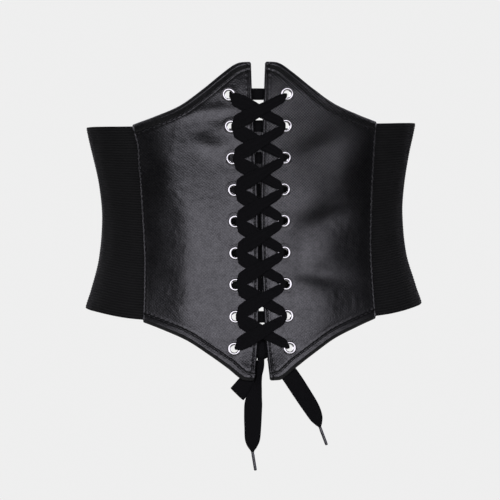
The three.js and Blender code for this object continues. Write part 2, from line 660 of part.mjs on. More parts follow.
// A lace tip: a slim crimped tube, closed at both ends, that hangs on from the lace's end.
function tipMesh(spot, out, material) {
  const radius = TIP_WIDTH / 2;
  const upwards = [
    [0, 1],
    [0.6, 1],
    [0.9, 0.96],
    [1, 0.06],
    [0.85, 0],
    [0, 0],
  ];
  const profile = upwards.map(([wide, down]) => new THREE.Vector2(radius * wide, -TIP_LENGTH * down));
  const mesh = new THREE.Mesh(new THREE.LatheGeometry(profile, 8), material);
  const down = new THREE.Vector3(spot.leanX, 0, -1).normalize();
  mesh.quaternion.setFromUnitVectors(new THREE.Vector3(0, -1, 0), down);
  mesh.position.copy(onFront(spot.x, spot.z, out).point);
  return mesh;
}

const leather = new THREE.MeshStandardMaterial({ color: 0x131315, roughness: 0.35, metalness: 0 });
const elastic = new THREE.MeshStandardMaterial({ color: 0x17181a, roughness: 0.85, metalness: 0 });
const lace = new THREE.MeshStandardMaterial({ color: 0x0c0c0d, roughness: 0.9, metalness: 0 });
const nickel = new THREE.MeshStandardMaterial({ color: 0xd8d8dc, roughness: 0.2, metalness: 1 });
const tipPlastic = new THREE.MeshStandardMaterial({ color: 0x2a2a2e, roughness: 0.3, metalness: 0 });

const belt = new THREE.Group();
function add(name, mesh) {
  mesh.name = name;
  belt.add(mesh);
}

for (const side of ["left", "right"]) {
  add(`panel_${side}`, new THREE.Mesh(panelGeometry(side), leather));
  add(`elastic_${side}`, new THREE.Mesh(bandGeometry(side), elastic));
  for (let row = 1; row <= EYELET_ROWS; row++) {
    const eyelet = new THREE.Mesh(eyeletGeometry(), nickel);
    eyelet.applyMatrix4(eyeletMatrix(side, row));
    add(`eyelet_${side}_${row}`, eyelet);
  }
}
add("back_clasp", new THREE.Mesh(claspGeometry(), leather));

const strandA = strandStations({ over: LACE_FRONT_OVER, under: LACE_BACK, firstRun: true });
const strandB = strandStations({ over: LACE_FRONT, under: LACE_BACK_UNDER, firstRun: false });
add("lace_strand_a", new THREE.Mesh(ribbonGeometry(strandA, false), lace));
add("lace_strand_b", new THREE.Mesh(ribbonGeometry(strandB, true), lace));
add("bow_knot", knotMesh(lace));
add("bow_loop", new THREE.Mesh(ribbonGeometry(loopStations(), false), lace));
add("lace_tail_left", new THREE.Mesh(ribbonGeometry(tailStations(TAIL_LEFT), false), lace));
add("lace_tail_right", new THREE.Mesh(ribbonGeometry(tailStations(TAIL_RIGHT), false), lace));
add("lace_tip_left", tipMesh(TIP_LEFT, TAIL_LEFT[TAIL_LEFT.length - 1].out, tipPlastic));
add("lace_tip_right", tipMesh(TIP_RIGHT, TAIL_RIGHT[TAIL_RIGHT.length - 1].out, tipPlastic));

export default belt;
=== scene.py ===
# %% [markdown]
# # A lace-front corset belt
# The belt has pointed front panels of coated leather cloth, laced through metal eyelets, and ribbed
# elastic round the sides and back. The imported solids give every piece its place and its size. Each
# step below makes one piece's real surface, or one finish, and prints what it made.

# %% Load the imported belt
import math
import bpy
import numpy as np
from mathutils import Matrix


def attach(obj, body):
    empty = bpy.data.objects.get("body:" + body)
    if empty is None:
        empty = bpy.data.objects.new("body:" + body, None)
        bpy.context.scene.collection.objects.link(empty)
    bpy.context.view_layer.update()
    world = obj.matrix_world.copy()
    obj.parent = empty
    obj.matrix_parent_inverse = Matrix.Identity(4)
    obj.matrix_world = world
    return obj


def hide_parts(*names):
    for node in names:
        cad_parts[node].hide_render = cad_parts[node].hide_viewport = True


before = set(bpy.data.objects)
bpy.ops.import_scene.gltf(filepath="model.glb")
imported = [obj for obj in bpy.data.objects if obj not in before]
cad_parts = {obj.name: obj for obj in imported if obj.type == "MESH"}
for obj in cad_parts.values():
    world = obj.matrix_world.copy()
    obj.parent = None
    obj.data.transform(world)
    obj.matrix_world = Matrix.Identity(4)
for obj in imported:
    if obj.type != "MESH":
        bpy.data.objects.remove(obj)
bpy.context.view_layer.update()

# %% [markdown]
# ## Camera
# The photograph was taken level with the belt, from a little to its left, through a long lens, and it
# is turned by less than a degree. The camera is placed from these facts. Its three axes go
# straight into its matrix, because that says where right, up and back are.

# %% Camera
CAMERA_DISTANCE = 2.2
CAMERA_AZIMUTH = math.radians(-3.4)
CAMERA_HEIGHT = -0.0258
CAMERA_ROLL = math.radians(0.85)
CAMERA_SIDESTEP = -0.00228
CAMERA_LENS = 208.4
SENSOR_WIDTH = 36

to_camera = np.array([math.sin(CAMERA_AZIMUTH), -math.cos(CAMERA_AZIMUTH), 0])
to_right = np.array([math.cos(CAMERA_AZIMUTH), math.sin(CAMERA_AZIMUTH), 0])
upwards = np.array([0, 0, 1])
camera_matrix = np.eye(4)
camera_matrix[:3, 0] = math.cos(CAMERA_ROLL) * to_right - math.sin(CAMERA_ROLL) * upwards
camera_matrix[:3, 1] = math.cos(CAMERA_ROLL) * upwards + math.sin(CAMERA_ROLL) * to_right
camera_matrix[:3, 2] = to_camera
camera_matrix[:3, 3] = to_camera * CAMERA_DISTANCE + to_right * CAMERA_SIDESTEP + upwards * CAMERA_HEIGHT

camera_data = bpy.data.cameras.new("camera")
camera_data.lens = CAMERA_LENS
camera_data.sensor_width = SENSOR_WIDTH
camera = bpy.data.objects.new("camera", camera_data)
camera.matrix_world = camera_matrix.T.tolist()
bpy.context.scene.collection.objects.link(camera)
bpy.context.scene.camera = camera
print("camera at", camera_matrix[:3, 3].round(3))

# %% [markdown]
# ## The form of the waist
# Every piece lies on one skin, so the belt's form is written once, as a function of an angle round
# the waist and a height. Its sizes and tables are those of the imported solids, in millimetres. A
# table has named columns, and a smooth curve runs through its rows.

# %% Sizes and tables
MM = 0.001
WAIST_WIDTH = 225.6
WAIST_FRONT = 80
WAIST_BACK = 75
FRONT_RISE = 111.7
FRONT_DROP = 121.2
SIDE_RISE = 69
SIDE_DROP = 67.6
ELASTIC_THICKNESS = 1.6
PANEL_THICKNESS = 2
PANEL_INSIDE = 2.1
PANEL_OUTSIDE = PANEL_INSIDE + PANEL_THICKNESS
SEAM_REACH = 84
SLOT_HALF_WIDTH = 5.5
SEAM_OVERLAP = 12
LACE_WIDTH = 13
LACE_THICKNESS = 0.9
SIGNS = {"left": -1, "right": 1}


def table(columns, *rows):
    """A table with named columns, from rows of numbers."""
    return np.array(list(rows), dtype=[(column, float) for column in columns.split()])


SECTIONS = table(
    "height width front back",
    (-1.04, 1.185, 1.14, 1.22),
    (-0.58, 1.124, 1.07, 1.15),
    (-0.45, 1.082, 1.045, 1.105),
    (-0.25, 1.023, 1.013, 1.035),
    (0, 1, 1, 1),
    (0.21, 1.015, 1.007, 1.012),
    (0.41, 1.053, 1.028, 1.045),
    (0.62, 1.097, 1.052, 1.095),
    (1.03, 1.165, 1.1, 1.17),
)
PANEL_SIDES = table(
    "height slot seam",
    (-1, 1, 1.03),
    (-0.81, 0.57, 1.01),
    (-0.62, 0.33, 0.998),
    (-0.42, 0.23, 0.984),
    (-0.24, 0.15, 0.976),
    (0, 0.13, 0.986),
    (0.17, 0.2, 0.997),
    (0.37, 0.38, 1.014),
    (0.58, 0.53, 1.03),
    (0.79, 0.76, 1.045),
    (1, 0.9, 1.06),
)

# %% Curves and edges


def smooth_step(low, high, value):
    """Rises from 0 to 1 between two values, level at both ends."""
    t = np.clip((value - low) / (high - low), 0, 1)
    return t * t * (3 - 2 * t)


def bell(distance, width):
    """A bell curve, 1 in its middle: e to the power of minus the square of distance over width."""
    return np.exp(-((distance / width) ** 2))


def fallen_edge(distance, radius):
    """How far a face has fallen, at a distance from its edge that an arc of the radius rounds over."""
    inside = radius - np.clip(distance, 0, radius)
    return radius - np.sqrt(np.maximum(radius**2 - inside**2, 0))


def full_turn(count):
    return np.linspace(0, 2 * np.pi, count, endpoint=False)


def smooth_curve(rows, key, column, value):
    """The column's value on a smooth curve through the rows: between two rows a cubic whose slope at
    a row is that of the line through its neighbours, and past the ends a straight line."""
    keys, values = rows[key], rows[column]
    index = np.arange(len(keys))
    before, after = np.maximum(index - 1, 0), np.minimum(index + 1, len(keys) - 1)
    slopes = (values[after] - values[before]) / (keys[after] - keys[before])
    row = np.clip(np.searchsorted(keys, value, side="right") - 1, 0, len(keys) - 2)
    span = keys[row + 1] - keys[row]
    t = np.clip((value - keys[row]) / span, 0, 1)
    ease = t * t * (3 - 2 * t)
    bend = span * t * (1 - t) * ((1 - t) * slopes[row] - t * slopes[row + 1])
    past = slopes[0] * np.minimum(value - keys[0], 0) + slopes[-1] * np.maximum(value - keys[-1], 0)
    return values[row] * (1 - ease) + values[row + 1] * ease + bend + past


# %% The skin


def height_share(z):
    """The height as a share of the panels' reach above the waist or below it."""
    return np.where(z > 0, z / FRONT_RISE, z / FRONT_DROP)


def half_width(z):
    """Half the belt's width at a height. Below the panels' point it stays what it is there."""
    level = np.maximum(z, -FRONT_DROP)
    return WAIST_WIDTH / 2 * smooth_curve(SECTIONS, "height", "width", height_share(level))


def skin(angle, z):
    """A point on the waist's skin: two half ellipses that share their width, whose sizes follow the
    height. The angle starts at the middle of the front and turns towards +X."""
    share = height_share(np.maximum(z, -FRONT_DROP))
    front = WAIST_FRONT * smooth_curve(SECTIONS, "height", "front", share)
    back = WAIST_BACK * smooth_curve(SECTIONS, "height", "back", share)
    depth = np.where(np.cos(angle) > 0, front, back)
    return np.stack([half_width(z) * np.sin(angle), -depth * np.cos(angle), z + 0 * angle], axis=-1)


def unit(vectors):
    return vectors / np.linalg.norm(vectors, axis=-1, keepdims=True)


def place(angle, z, out):
    """The skin's point moved outwards by a distance, with its outward, sideways and upward directions,
    which come from the differences between near points of the skin."""
    angle, z, out = np.broadcast_arrays(*(np.asarray(part, float) for part in (angle, z, out)))
    along = unit(skin(angle + 0.01, z) - skin(angle - 0.01, z))
    rising = skin(angle, z + 1) - skin(angle, z - 1)
    normal = unit(np.cross(along, rising))
    up = unit(np.cross(normal, along))
    return skin(angle, z) + normal * out[..., None], normal, along, up


def on_front(x, z, out):
    """A place on the front half by how far it lies sideways, with the same directions."""
    return place(np.arcsin(np.clip(x / half_width(z), -1, 1)), z, out)


print("half width at the waist, mm:", float(half_width(np.array(0.0))))

# %% [markdown]
# ## From arrays to a mesh
# A piece is worked out as arrays of points and of faces. This cell hands them to Blender, turns the
# faces outwards if they enclose a negative volume, and keeps the piece's own UV map, in metres of
# cloth, so that a weave has its true scale and follows the surface.

# %% Mesh helpers


def enclosed_volume(points, quads):
    """The volume inside closed faces: a sixth of the sum of the triple products of their triangles."""
    a, b, c, d = (points[quads[:, corner]] for corner in range(4))
    halves = np.einsum("ij,ij->i", a, np.cross(b, c)) + np.einsum("ij,ij->i", a, np.cross(c, d))
    return halves.sum() / 6


def make_piece(name, points, quads, materials, uv=None, inner=None, values=None):
    """A piece from points in millimetres and quads. inner marks the faces that take the second
    material, and values are numbers kept at the points under a name."""
    if enclosed_volume(points, quads) < 0:
        quads = quads[:, ::-1]
    mesh = bpy.data.meshes.new(name)
    mesh.from_pydata((points * MM).tolist(), [], quads.tolist())
    mesh.polygons.foreach_set("use_smooth", np.ones(len(quads), bool))
    for material in materials:
        mesh.materials.append(material)
    if inner is not None:
        mesh.polygons.foreach_set("material_index", inner.astype(np.int32))
    if uv is not None:
        layer = mesh.uv_layers.new(name="cloth")
        layer.data.foreach_set("uv", (uv[quads.ravel()] * MM).astype(np.float32).ravel())
    for label, numbers in (values or {}).items():
        mesh.attributes.new(label, "FLOAT", "POINT").data.foreach_set("value", numbers.astype(np.float32))
    mesh.update()
    piece = bpy.data.objects.new(name, mesh)
    bpy.context.scene.collection.objects.link(piece)
    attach(piece, "root")
    print(f"{name}: {len(quads)} faces, {np.ptp(points, axis=0).round(1)} mm")
    return piece


def grid_quads(rows, columns):
    """The quads of a grid whose points are numbered row by row."""
    first = (np.arange(rows - 1)[:, None] * columns + np.arange(columns - 1)).ravel()
    return np.stack([first, first + 1, first + columns + 1, first + columns], axis=1)


def tube_quads(rings, around):
    """The quads of a closed tube: its side, and its two ends closed by strips from point to point."""
    ring, side = (np.arange(rings - 1)[:, None] * around), np.arange(around)
    following = (side + 1) % around
    corners = [ring + side, ring + following, ring + around + following, ring + around + side]
    sides = np.stack(corners, axis=-1).reshape(-1, 4)
    strip = np.arange(around // 2 - 1)
    start = np.stack([strip, around - 1 - strip, around - 2 - strip, strip + 1], axis=1)
    return np.concatenate([sides, start, (rings - 1) * around + start[:, ::-1]])


def close_wall(outer, inner, quads):
    """A wall between two faces over the same quads: every edge that only one quad uses, at the rim or
    round a hole, gets a strip from face to face."""
    count = len(outer)
    edges = np.concatenate([quads[:, [side, (side + 1) % 4]] for side in range(4)])
    _, index, uses = np.unique(np.sort(edges, axis=1), axis=0, return_index=True, return_counts=True)
    rim = edges[index[uses == 1]]
    strips = np.stack([rim[:, 1], rim[:, 0], rim[:, 0] + count, rim[:, 1] + count], axis=1)
    return np.concatenate([outer, inner]), np.concatenate([quads, quads[:, ::-1] + count, strips])


# %% [markdown]
# ## A flat lace
# The lace is a flat braid, 13 mm wide and under a millimetre thick, and it is gathered into
# lengthwise folds wherever it is pulled together. It is one closed section of many points that is
# carried along a route: the section's middle line waves up and down by the depth of the gathers, and
# its thickness fades at the two edges.

# %% Ribbon along a route


def on_cloth(sideways, lengthwise):
    """The points' own places on the flat cloth, in the order of their grid."""
    return np.stack(np.broadcast_arrays(sideways, lengthwise), axis=-1).reshape(-1, 2)


def along_route(points):
    """How far along a route each of its points lies."""
    steps = np.linalg.norm(np.diff(points, axis=0), axis=1)
    return np.concatenate([[0], np.cumsum(steps)])


def soft_noise(places, size, seed):
    """A smooth random field, from -1 to 1 or so: the sum of plane waves with random directions and
    phases, all about as long as the size."""
    random = np.random.default_rng(seed)
    waves = 28
    directions = unit(random.normal(size=(waves, places.shape[-1])))
    lengths = size * random.uniform(0.7, 1.6, waves)
    angles = 2 * np.pi * (places @ (directions / lengths[:, None]).T + random.uniform(0, 1, waves))
    return np.sin(angles).sum(axis=-1) / math.sqrt(waves)


def ribbon(route, across, face, width, thick, gather, folds, seed):
    """A ribbon's points, quads and cloth places. u runs from -1 to 1 over its width, on the front
    and then back on the rear: a point is the route's point, plus u times half the width sideways,
    plus the fold's height and half the thickness outwards."""
    u = np.sin(np.linspace(-np.pi / 2, np.pi / 2, 17))
    length = along_route(route)[:, None]
    drift = 1.6 * soft_noise(np.concatenate([length, 0 * length], axis=1), 22, seed)[:, None]
    wave = np.cos(np.pi * folds * u + drift) + 0.45 * np.cos(np.pi * (folds + 1.7) * u - 1.7 * drift + 1)
    middle = gather[:, None] * wave
    half = thick[:, None] / 2 * np.maximum(np.sqrt(1 - np.abs(u) ** 5), 0.25)
    sideways = np.concatenate([u, u[::-1]]) * width[:, None] / 2
    outward = np.concatenate([middle + half, (middle - half)[:, ::-1]], axis=1)
    points = route[:, None] + across[:, None] * sideways[..., None] + face[:, None] * outward[..., None]
    cloth = on_cloth(np.concatenate([u, u[::-1]]) * LACE_WIDTH / 2, length)
    return points.reshape(-1, 3), tube_quads(len(route), 2 * len(u)), cloth


def finer(stations, step):
    """More stations between the given ones, on a smooth curve through each column, by distance."""
    place_of = along_route(np.stack([stations[axis] for axis in "xyz"], axis=1))
    count = max(2, int(place_of[-1] / step) + 1)
    at = np.union1d(np.linspace(0, place_of[-1], count), place_of)
    rows = table(" ".join(["at", *stations]), *zip(place_of, *stations.values()))
    return {name: smooth_curve(rows, "at", name, at) for name in stations}


# %% [markdown]
# ## Finishes
# A finish is a small tree of shader nodes. One helper adds a node with its inputs, whether they are
# numbers or other nodes' outputs, so that each recipe below reads from top to bottom. Patterns read
# the piece's UV map, in metres of cloth, and so keep their real scale.

# %% Node helpers


def new_finish(name, **sockets):
    """A material with one Principled shader, whose plain values are set on its own sockets."""
    material = bpy.data.materials.new(name)
    material.use_nodes = True
    shader = material.node_tree.nodes["Principled BSDF"]
    for socket, value in sockets.items():
        shader.inputs[socket.replace("_", " ")].default_value = value
    return material, material.node_tree, shader


def add_node(tree, kind, inputs=(), **settings):
    """A node of one kind, with its settings and its inputs: a number, or another node's output."""
    made = tree.nodes.new(f"ShaderNode{kind}")
    for setting, value in settings.items():
        setattr(made, setting, value)
    for socket, value in dict(inputs).items():
        if isinstance(value, bpy.types.NodeSocket):
            tree.links.new(value, made.inputs[socket])
        else:
            made.inputs[socket].default_value = value
    return made


def attribute(tree, label):
    return add_node(tree, "Attribute", attribute_name=label).outputs["Fac"]


def cloth_places(tree, turn=0.0):
    """The piece's own UV map, turned by some degrees."""
    uv = add_node(tree, "UVMap", uv_map="cloth").outputs["UV"]
    mapping = {"Vector": uv, "Rotation": (0, 0, math.radians(turn))}
    return add_node(tree, "Mapping", mapping).outputs["Vector"]


def noise(tree, where, size, detail=3.0):
    """Cloudy noise whose patches are about the given size, in metres."""
    inputs = {"Vector": where, "Scale": 1 / size, "Detail": detail}
    return add_node(tree, "TexNoise", inputs).outputs["Fac"]


def stripes(tree, turn, pitch, direction="X", distortion=0.0):
    """Parallel stripes on the cloth, turned by some degrees, with the given pitch in metres. The
    node's own pitch is a tenth of pi."""
    inputs = {"Vector": cloth_places(tree, turn), "Scale": math.pi / 10 / pitch, "Distortion": distortion}
    inputs.update({"Detail": 1.0, "Detail Scale": 1.5})
    settings = {"wave_type": "BANDS", "bands_direction": direction}
    return add_node(tree, "TexWave", inputs, **settings).outputs["Fac"]


def combine(tree, operation, first, second):
    made = add_node(tree, "Math", operation=operation)
    for socket, value in zip(made.inputs, (first, second)):
        if isinstance(value, bpy.types.NodeSocket):
            tree.links.new(value, socket)
        else:
            socket.default_value = value
    return made.outputs["Value"]


def spread(tree, value, low, high, start=0.0, end=1.0):
    """The value moved from the range start to end into the range low to high."""
    inputs = {"Value": value, "From Min": start, "From Max": end, "To Min": low, "To Max": high}
    return add_node(tree, "MapRange", inputs).outputs["Result"]


def blend_colours(tree, amount, first, second):
    made = add_node(tree, "Mix", data_type="RGBA")
    tree.links.new(amount, made.inputs["Factor"])
    made.inputs["A"].default_value = (*first, 1)
    made.inputs["B"].default_value = (*second, 1)
    return next(socket for socket in made.outputs if socket.type == "RGBA")


def paint(tree, shader, amount, dark, light):
    tree.links.new(blend_colours(tree, amount, dark, light), shader.inputs["Base Color"])


def bumps(tree, shader, *layers):
    """Bump nodes in a chain, each with its height and its depth in metres, into the shader."""
    normal = None
    for height, depth in layers:
        inputs = {"Height": height, "Distance": depth, "Strength": 1.0}
        if normal is not None:
            inputs["Normal"] = normal
        normal = add_node(tree, "Bump", inputs).outputs["Normal"]
    tree.links.new(normal, shader.inputs["Normal"])


# %% [markdown]
# ## Coated leather cloth
# The panels are black leather cloth with a glossy coat. Its grain is a fine hatch in two directions
# over a soft pebble, and the gloss varies in patches. The hatch is two sets of stripes at right
# angles. Bump is right for it, because the grain is far finer than the mesh.

# %% Leather finish
HATCH_TURNS = (43, -47)
HATCH_PITCH = 0.0015
PEBBLE_SIZE = 0.001


def leather_finish(name, gloss, hatch_depth):
    """Base colour and gloss vary in patches. Three bumps lie over one another: the hatch, whose depth
    follows the piece's own hatch attribute, a pebble of small cells, and a very fine grain. The
    hatch's and the pebble's grooves also shine less than their tops."""
    made, tree, shader = new_finish(name, IOR=1.5)
    flat = cloth_places(tree)
    patches = noise(tree, flat, 0.028)
    grain = noise(tree, flat, 0.0013, 2.0)
    lines = (stripes(tree, turn, HATCH_PITCH, distortion=0.6) for turn in HATCH_TURNS)
    strength = attribute(tree, "hatch")
    hatch = combine(tree, "MULTIPLY", combine(tree, "ADD", *lines), strength)
    pebble = add_node(tree, "TexVoronoi", {"Vector": flat, "Scale": 1 / PEBBLE_SIZE}).outputs["Distance"]
    paint(tree, shader, patches, (0.0012, 0.0012, 0.0014), (0.0028, 0.0028, 0.0032))

    rough = combine(tree, "ADD", spread(tree, patches, gloss, gloss + 0.05, 0.3, 0.7),
                    spread(tree, grain, 0.0, 0.03, 0.3, 0.7))
    rough = combine(tree, "ADD", rough, spread(tree, attribute(tree, "hem_wear"), 0.0, 0.07))
    tree.links.new(rough, shader.inputs["Roughness"])

    shine = combine(tree, "MULTIPLY", hatch, 0.38)
    shine = combine(tree, "SUBTRACT", shine, spread(tree, pebble, 0, 0.24, 0, 0.7))
    shine = combine(tree, "SUBTRACT", shine, combine(tree, "MULTIPLY", strength, 0.36))
    shine = combine(tree, "ADD", shine, spread(tree, noise(tree, flat, 0.006, 2.0), -0.05, 0.05, 0.3, 0.7))
    tree.links.new(combine(tree, "ADD", shine, 0.63), shader.inputs["Specular IOR Level"])
    bumps(tree, shader, (hatch, hatch_depth), (pebble, 0.00007), (grain, 0.00003))
    return made


def backing_finish():
    """The cloth side of the coated leather: a plain charcoal weave."""
    made, tree, shader = new_finish("leather_cloth_back", Roughness=0.9, Specular_IOR_Level=0.2)
    threads = (stripes(tree, 0, 0.0007, direction) for direction in "XY")
    weave = combine(tree, "MULTIPLY", *threads)
    paint(tree, shader, weave, (0.006, 0.006, 0.007), (0.022, 0.022, 0.024))
    bumps(tree, shader, (weave, 0.00012), (noise(tree, cloth_places(tree), 0.004), 0.0001))
    return made


panel_leather = leather_finish("coated_leather", 0.28, 0.00014)
clasp_leather = leather_finish("satin_leather", 0.4, 0.00003)
leather_back = backing_finish()
print("leather finishes made")

# %% [markdown]
# ## Elastic, lace, thread, nickel and tips
# The elastic is matte black, knitted in fine cross ribs. The lace is a flat braid, so its weave is two
# sets of slanting stripes that meet down the middle. Thread is twisted, nickel is polished and very
# slightly scratched, and the lace's tips are a hard glossy film.

# %% Cloth finishes


def elastic_finish():
    """The crests of the ribs, which the piece's own rib attribute marks, are painted paler and the
    valleys darker: painted light and shade on the rib relief.
    """
    made, tree, shader = new_finish("knitted_elastic", Roughness=0.85, Specular_IOR_Level=0.02)
    flat = cloth_places(tree)
    knit = combine(tree, "MULTIPLY", stripes(tree, 0, 0.0009, distortion=0.6),
                   stripes(tree, 0, 0.0004, "Y", distortion=0.4))
    patches = noise(tree, flat, 0.02, 2.0)
    amount = combine(tree, "MULTIPLY", spread(tree, knit, 0.45, 1.0), spread(tree, patches, 0.8, 1.0))
    # Painted shade: the colour darkens towards the rib valleys and is lightest on the crests
    amount = combine(tree, "MULTIPLY", amount, spread(tree, attribute(tree, "rib"), 0.3, 1.0))
    paint(tree, shader, amount, (0.0045, 0.0046, 0.0046), (0.0248, 0.0251, 0.024))
    bumps(tree, shader, (knit, 0.0001), (noise(tree, flat, 0.0006), 0.00006))
    return made


def lace_finish():
    """The braid is the higher of two sets of slanting stripes, with fuzz over it."""
    made, tree, shader = new_finish("lace_braid", Roughness=0.9, Specular_IOR_Level=0.03)
    slanting = (stripes(tree, turn, 0.00085) for turn in (58, -58))
    braid = combine(tree, "MAXIMUM", *slanting)
    fuzz = noise(tree, cloth_places(tree), 0.0005, 2.0)
    amount = combine(tree, "MULTIPLY", braid, spread(tree, fuzz, 0.6, 1.0))
    paint(tree, shader, amount, (0.0022, 0.0022, 0.0024), (0.0078, 0.0078, 0.0082))
    bumps(tree, shader, (braid, 0.00012), (fuzz, 0.00006))
    return made


def thread_finish():
    made, tree, shader = new_finish("sewing_thread", Roughness=0.45, Specular_IOR_Level=0.5)
    ply = stripes(tree, 35, 0.0005)
    paint(tree, shader, ply, (0.004, 0.004, 0.0045), (0.014, 0.014, 0.015))
    bumps(tree, shader, (ply, 0.00008))
    return made


side_elastic = elastic_finish()
lace_braid = lace_finish()
sewing_thread = thread_finish()
print("elastic, lace and thread finishes made")

# %% Nickel and tip finishes


def nickel_finish():
    made, tree, shader = new_finish("polished_nickel", Metallic=1.0)
    spot = add_node(tree, "TexCoord").outputs["Object"]
    clouds = noise(tree, spot, 0.003)
    drawn_out = add_node(tree, "Mapping", {"Vector": spot, "Scale": (1, 1, 9)}).outputs["Vector"]
    scratches = noise(tree, drawn_out, 0.0012)
    paint(tree, shader, clouds, (0.3, 0.295, 0.29), (0.42, 0.415, 0.41))
    tree.links.new(spread(tree, clouds, 0.1, 0.22, 0.3, 0.7), shader.inputs["Roughness"])
    bumps(tree, shader, (scratches, 0.00001))
    return made


def tip_finish():
    made, tree, shader = new_finish("lace_tip_film", Coat_Weight=0.4, Coat_Roughness=0.12)
    crimps = noise(tree, cloth_places(tree), 0.0015, 2.0)
    paint(tree, shader, crimps, (0.01, 0.01, 0.011), (0.022, 0.022, 0.024))
    tree.links.new(spread(tree, crimps, 0.2, 0.36), shader.inputs["Roughness"])
    bumps(tree, shader, (crimps, 0.00012))
    return made


eyelet_nickel = nickel_finish()
lace_tip_film = tip_finish()
print("nickel and tip finishes made")

# %% [markdown]
# ## The free ends of the lace
# Two ends of the lace hang below the point of the front. Each is a free cord of known length: the
# photograph shows both to their tips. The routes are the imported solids' own points, and the last
# centimetre of each lies inside its tip. Below the panels nothing touches them: the left one hangs
# plumb, and the right one stands away to its side, as the tied bow leaves it.

# %% Lace ends
TAILS = {
    "left": table(
        "x z out width thick gather",
        (-0.7, -105.4, -1, 5, 1.5, 0.5),
        (-1.6, -111, -0.6, 4.8, 1.4, 0.75),
        (-2.6, -120.5, -0.5, 4.6, 1.3, 0.75),
        (-4.4, -128, -0.3, 8.2, 1.0, 0.4),
        (-6.6, -136, -0.2, 12.6, 0.9, 0.1),
        (-7.3, -146, -0.2, 13, 0.9, 0.05),
        (-7.6, -156, -0.2, 12.2, 0.9, 0.05),
        (-7.9, -163.5, -0.2, 11.2, 0.9, 0.12),
        (-8, -167.2, -0.2, 9, 0.9, 0.2),
        (-8, -170, -0.2, 6, 1.0, 0.3),
        (-8, -172.6, -0.2, 2.4, 1.4, 0.15),
        (-7.5, -176.5, -0.2, 2, 1.5, 0),
        (-7, -179.8, -0.2, 2, 1.5, 0),
    ),
    "right": table(
        "x z out width thick gather",
        (5.4, -103.6, -1.7, 6, 1.4, 0.6),
        (10.4, -107, -1.6, 9.8, 1.1, 0.35),
        (15, -110.6, -1.2, 12.4, 0.9, 0.12),
        (20.4, -117.4, -0.8, 13, 0.9, 0.06),
        (29.9, -132.4, -0.3, 12.8, 0.9, 0.05),
        (36, -142.2, -0.2, 12, 0.9, 0.05),
        (39.6, -149.4, -0.2, 9.6, 0.9, 0.14),
        (41.4, -154, -0.2, 5, 1.0, 0.3),
        (42, -156, -0.2, 2.1, 1.5, 0.1),
        (43.4, -159.8, -0.2, 2, 1.5, 0),
        (44.9, -164, -0.2, 2, 1.5, 0),
    ),
}
TIP_LENGTH = 13.8
TIP_WIDTH = 2.3
TIP_TOPS = {"left": (-8, -172.85, 0.148), "right": (42.1, -156.3, 0.36)}


def tail_route(side):
    """The free end's stations, its route, and its sideways and facing directions, square to it."""
    rows = TAILS[side]
    spots = on_front(rows["x"], rows["z"], rows["out"])[0]
    stations = dict(zip("xyz", spots.T), width=rows["width"], thick=rows["thick"], gather=rows["gather"])
    stations = finer(stations, 0.8)
    route = np.stack([stations[axis] for axis in "xyz"], axis=1)
    way = unit(np.gradient(route, axis=0))
    face = on_front(route[:, 0], route[:, 2], 0)[1]
    across = unit(np.cross(way, face))
    return stations, route, across, np.cross(across, way)


def tip_piece(side):
    """A rolled film tip: its radius follows a short profile down its length, its section is round,
    and a shallow seam runs down one side."""
    x, z, lean = TIP_TOPS[side]
    profile = table("down wide", (0, 0.8), (0.02, 0.95), (0.06, 1), (0.1, 0.93), (0.14, 1), (0.5, 0.97),
                    (0.9, 0.96), (0.95, 0.92), (0.985, 0.8), (1, 0.62))
    down = np.union1d(np.linspace(0, 1, 56), profile["down"])
    turn = full_turn(24)
    seam = 1 - 0.1 * bell(np.angle(np.exp(1j * (turn + 1.2))), 0.22)
    radius = TIP_WIDTH / 2 * smooth_curve(profile, "down", "wide", down)[:, None] * seam
    axis = unit(np.array([lean, 0, -1.0]))
    side_way = unit(np.cross(axis, [0, -1.0, 0]))
    front_way = np.cross(side_way, axis)
    top = on_front(np.array(float(x)), np.array(float(z)), -0.2)[0]
    centre = top + axis * TIP_LENGTH * down[:, None]
    ring = np.cos(turn)[:, None] * side_way + np.sin(turn)[:, None] * front_way
    points = centre[:, None] + ring * radius[..., None]
    cloth = on_cloth(turn * TIP_WIDTH / 2, down[:, None] * TIP_LENGTH)
    quads = tube_quads(len(down), len(turn))
    piece = make_piece(f"lace_tip_film_{side}", points.reshape(-1, 3), quads, [lace_tip_film], cloth)
    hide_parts(f"lace_tip_{side}")
    return piece


for side in SIGNS:
    stations, route, across, face = tail_route(side)
    points, quads, cloth = ribbon(route, across, face, stations["width"], stations["thick"],
                                  stations["gather"], 3.4, 7)
    tail = make_piece(f"lace_end_{side}", points, quads, [lace_braid], cloth)
    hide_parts(f"lace_tail_{side}")
    tip = tip_piece(side)
    print(f"free end {side}: {along_route(route)[-1]:.1f} mm long")

# %% [markdown]
# ## Front panels
# Each panel is one wall of coated leather cloth with its edges turned in and sewn down. Its outer
# face is worked out on a grid from the slot to the side seam and from the lower to the upper edge.
# Grid lines lie closer together near the edges, where the turned hem rolls over, the seam sinks in
# and the stitches pull it into small puckers. The upper and lower hems narrow towards the slot. The
# lower tips lean in and the upper ones out, and broad creases cross the leather where the lace
# pulls it. A sculpted mesh could do the same, but here every groove has a size that can be read
# and changed.

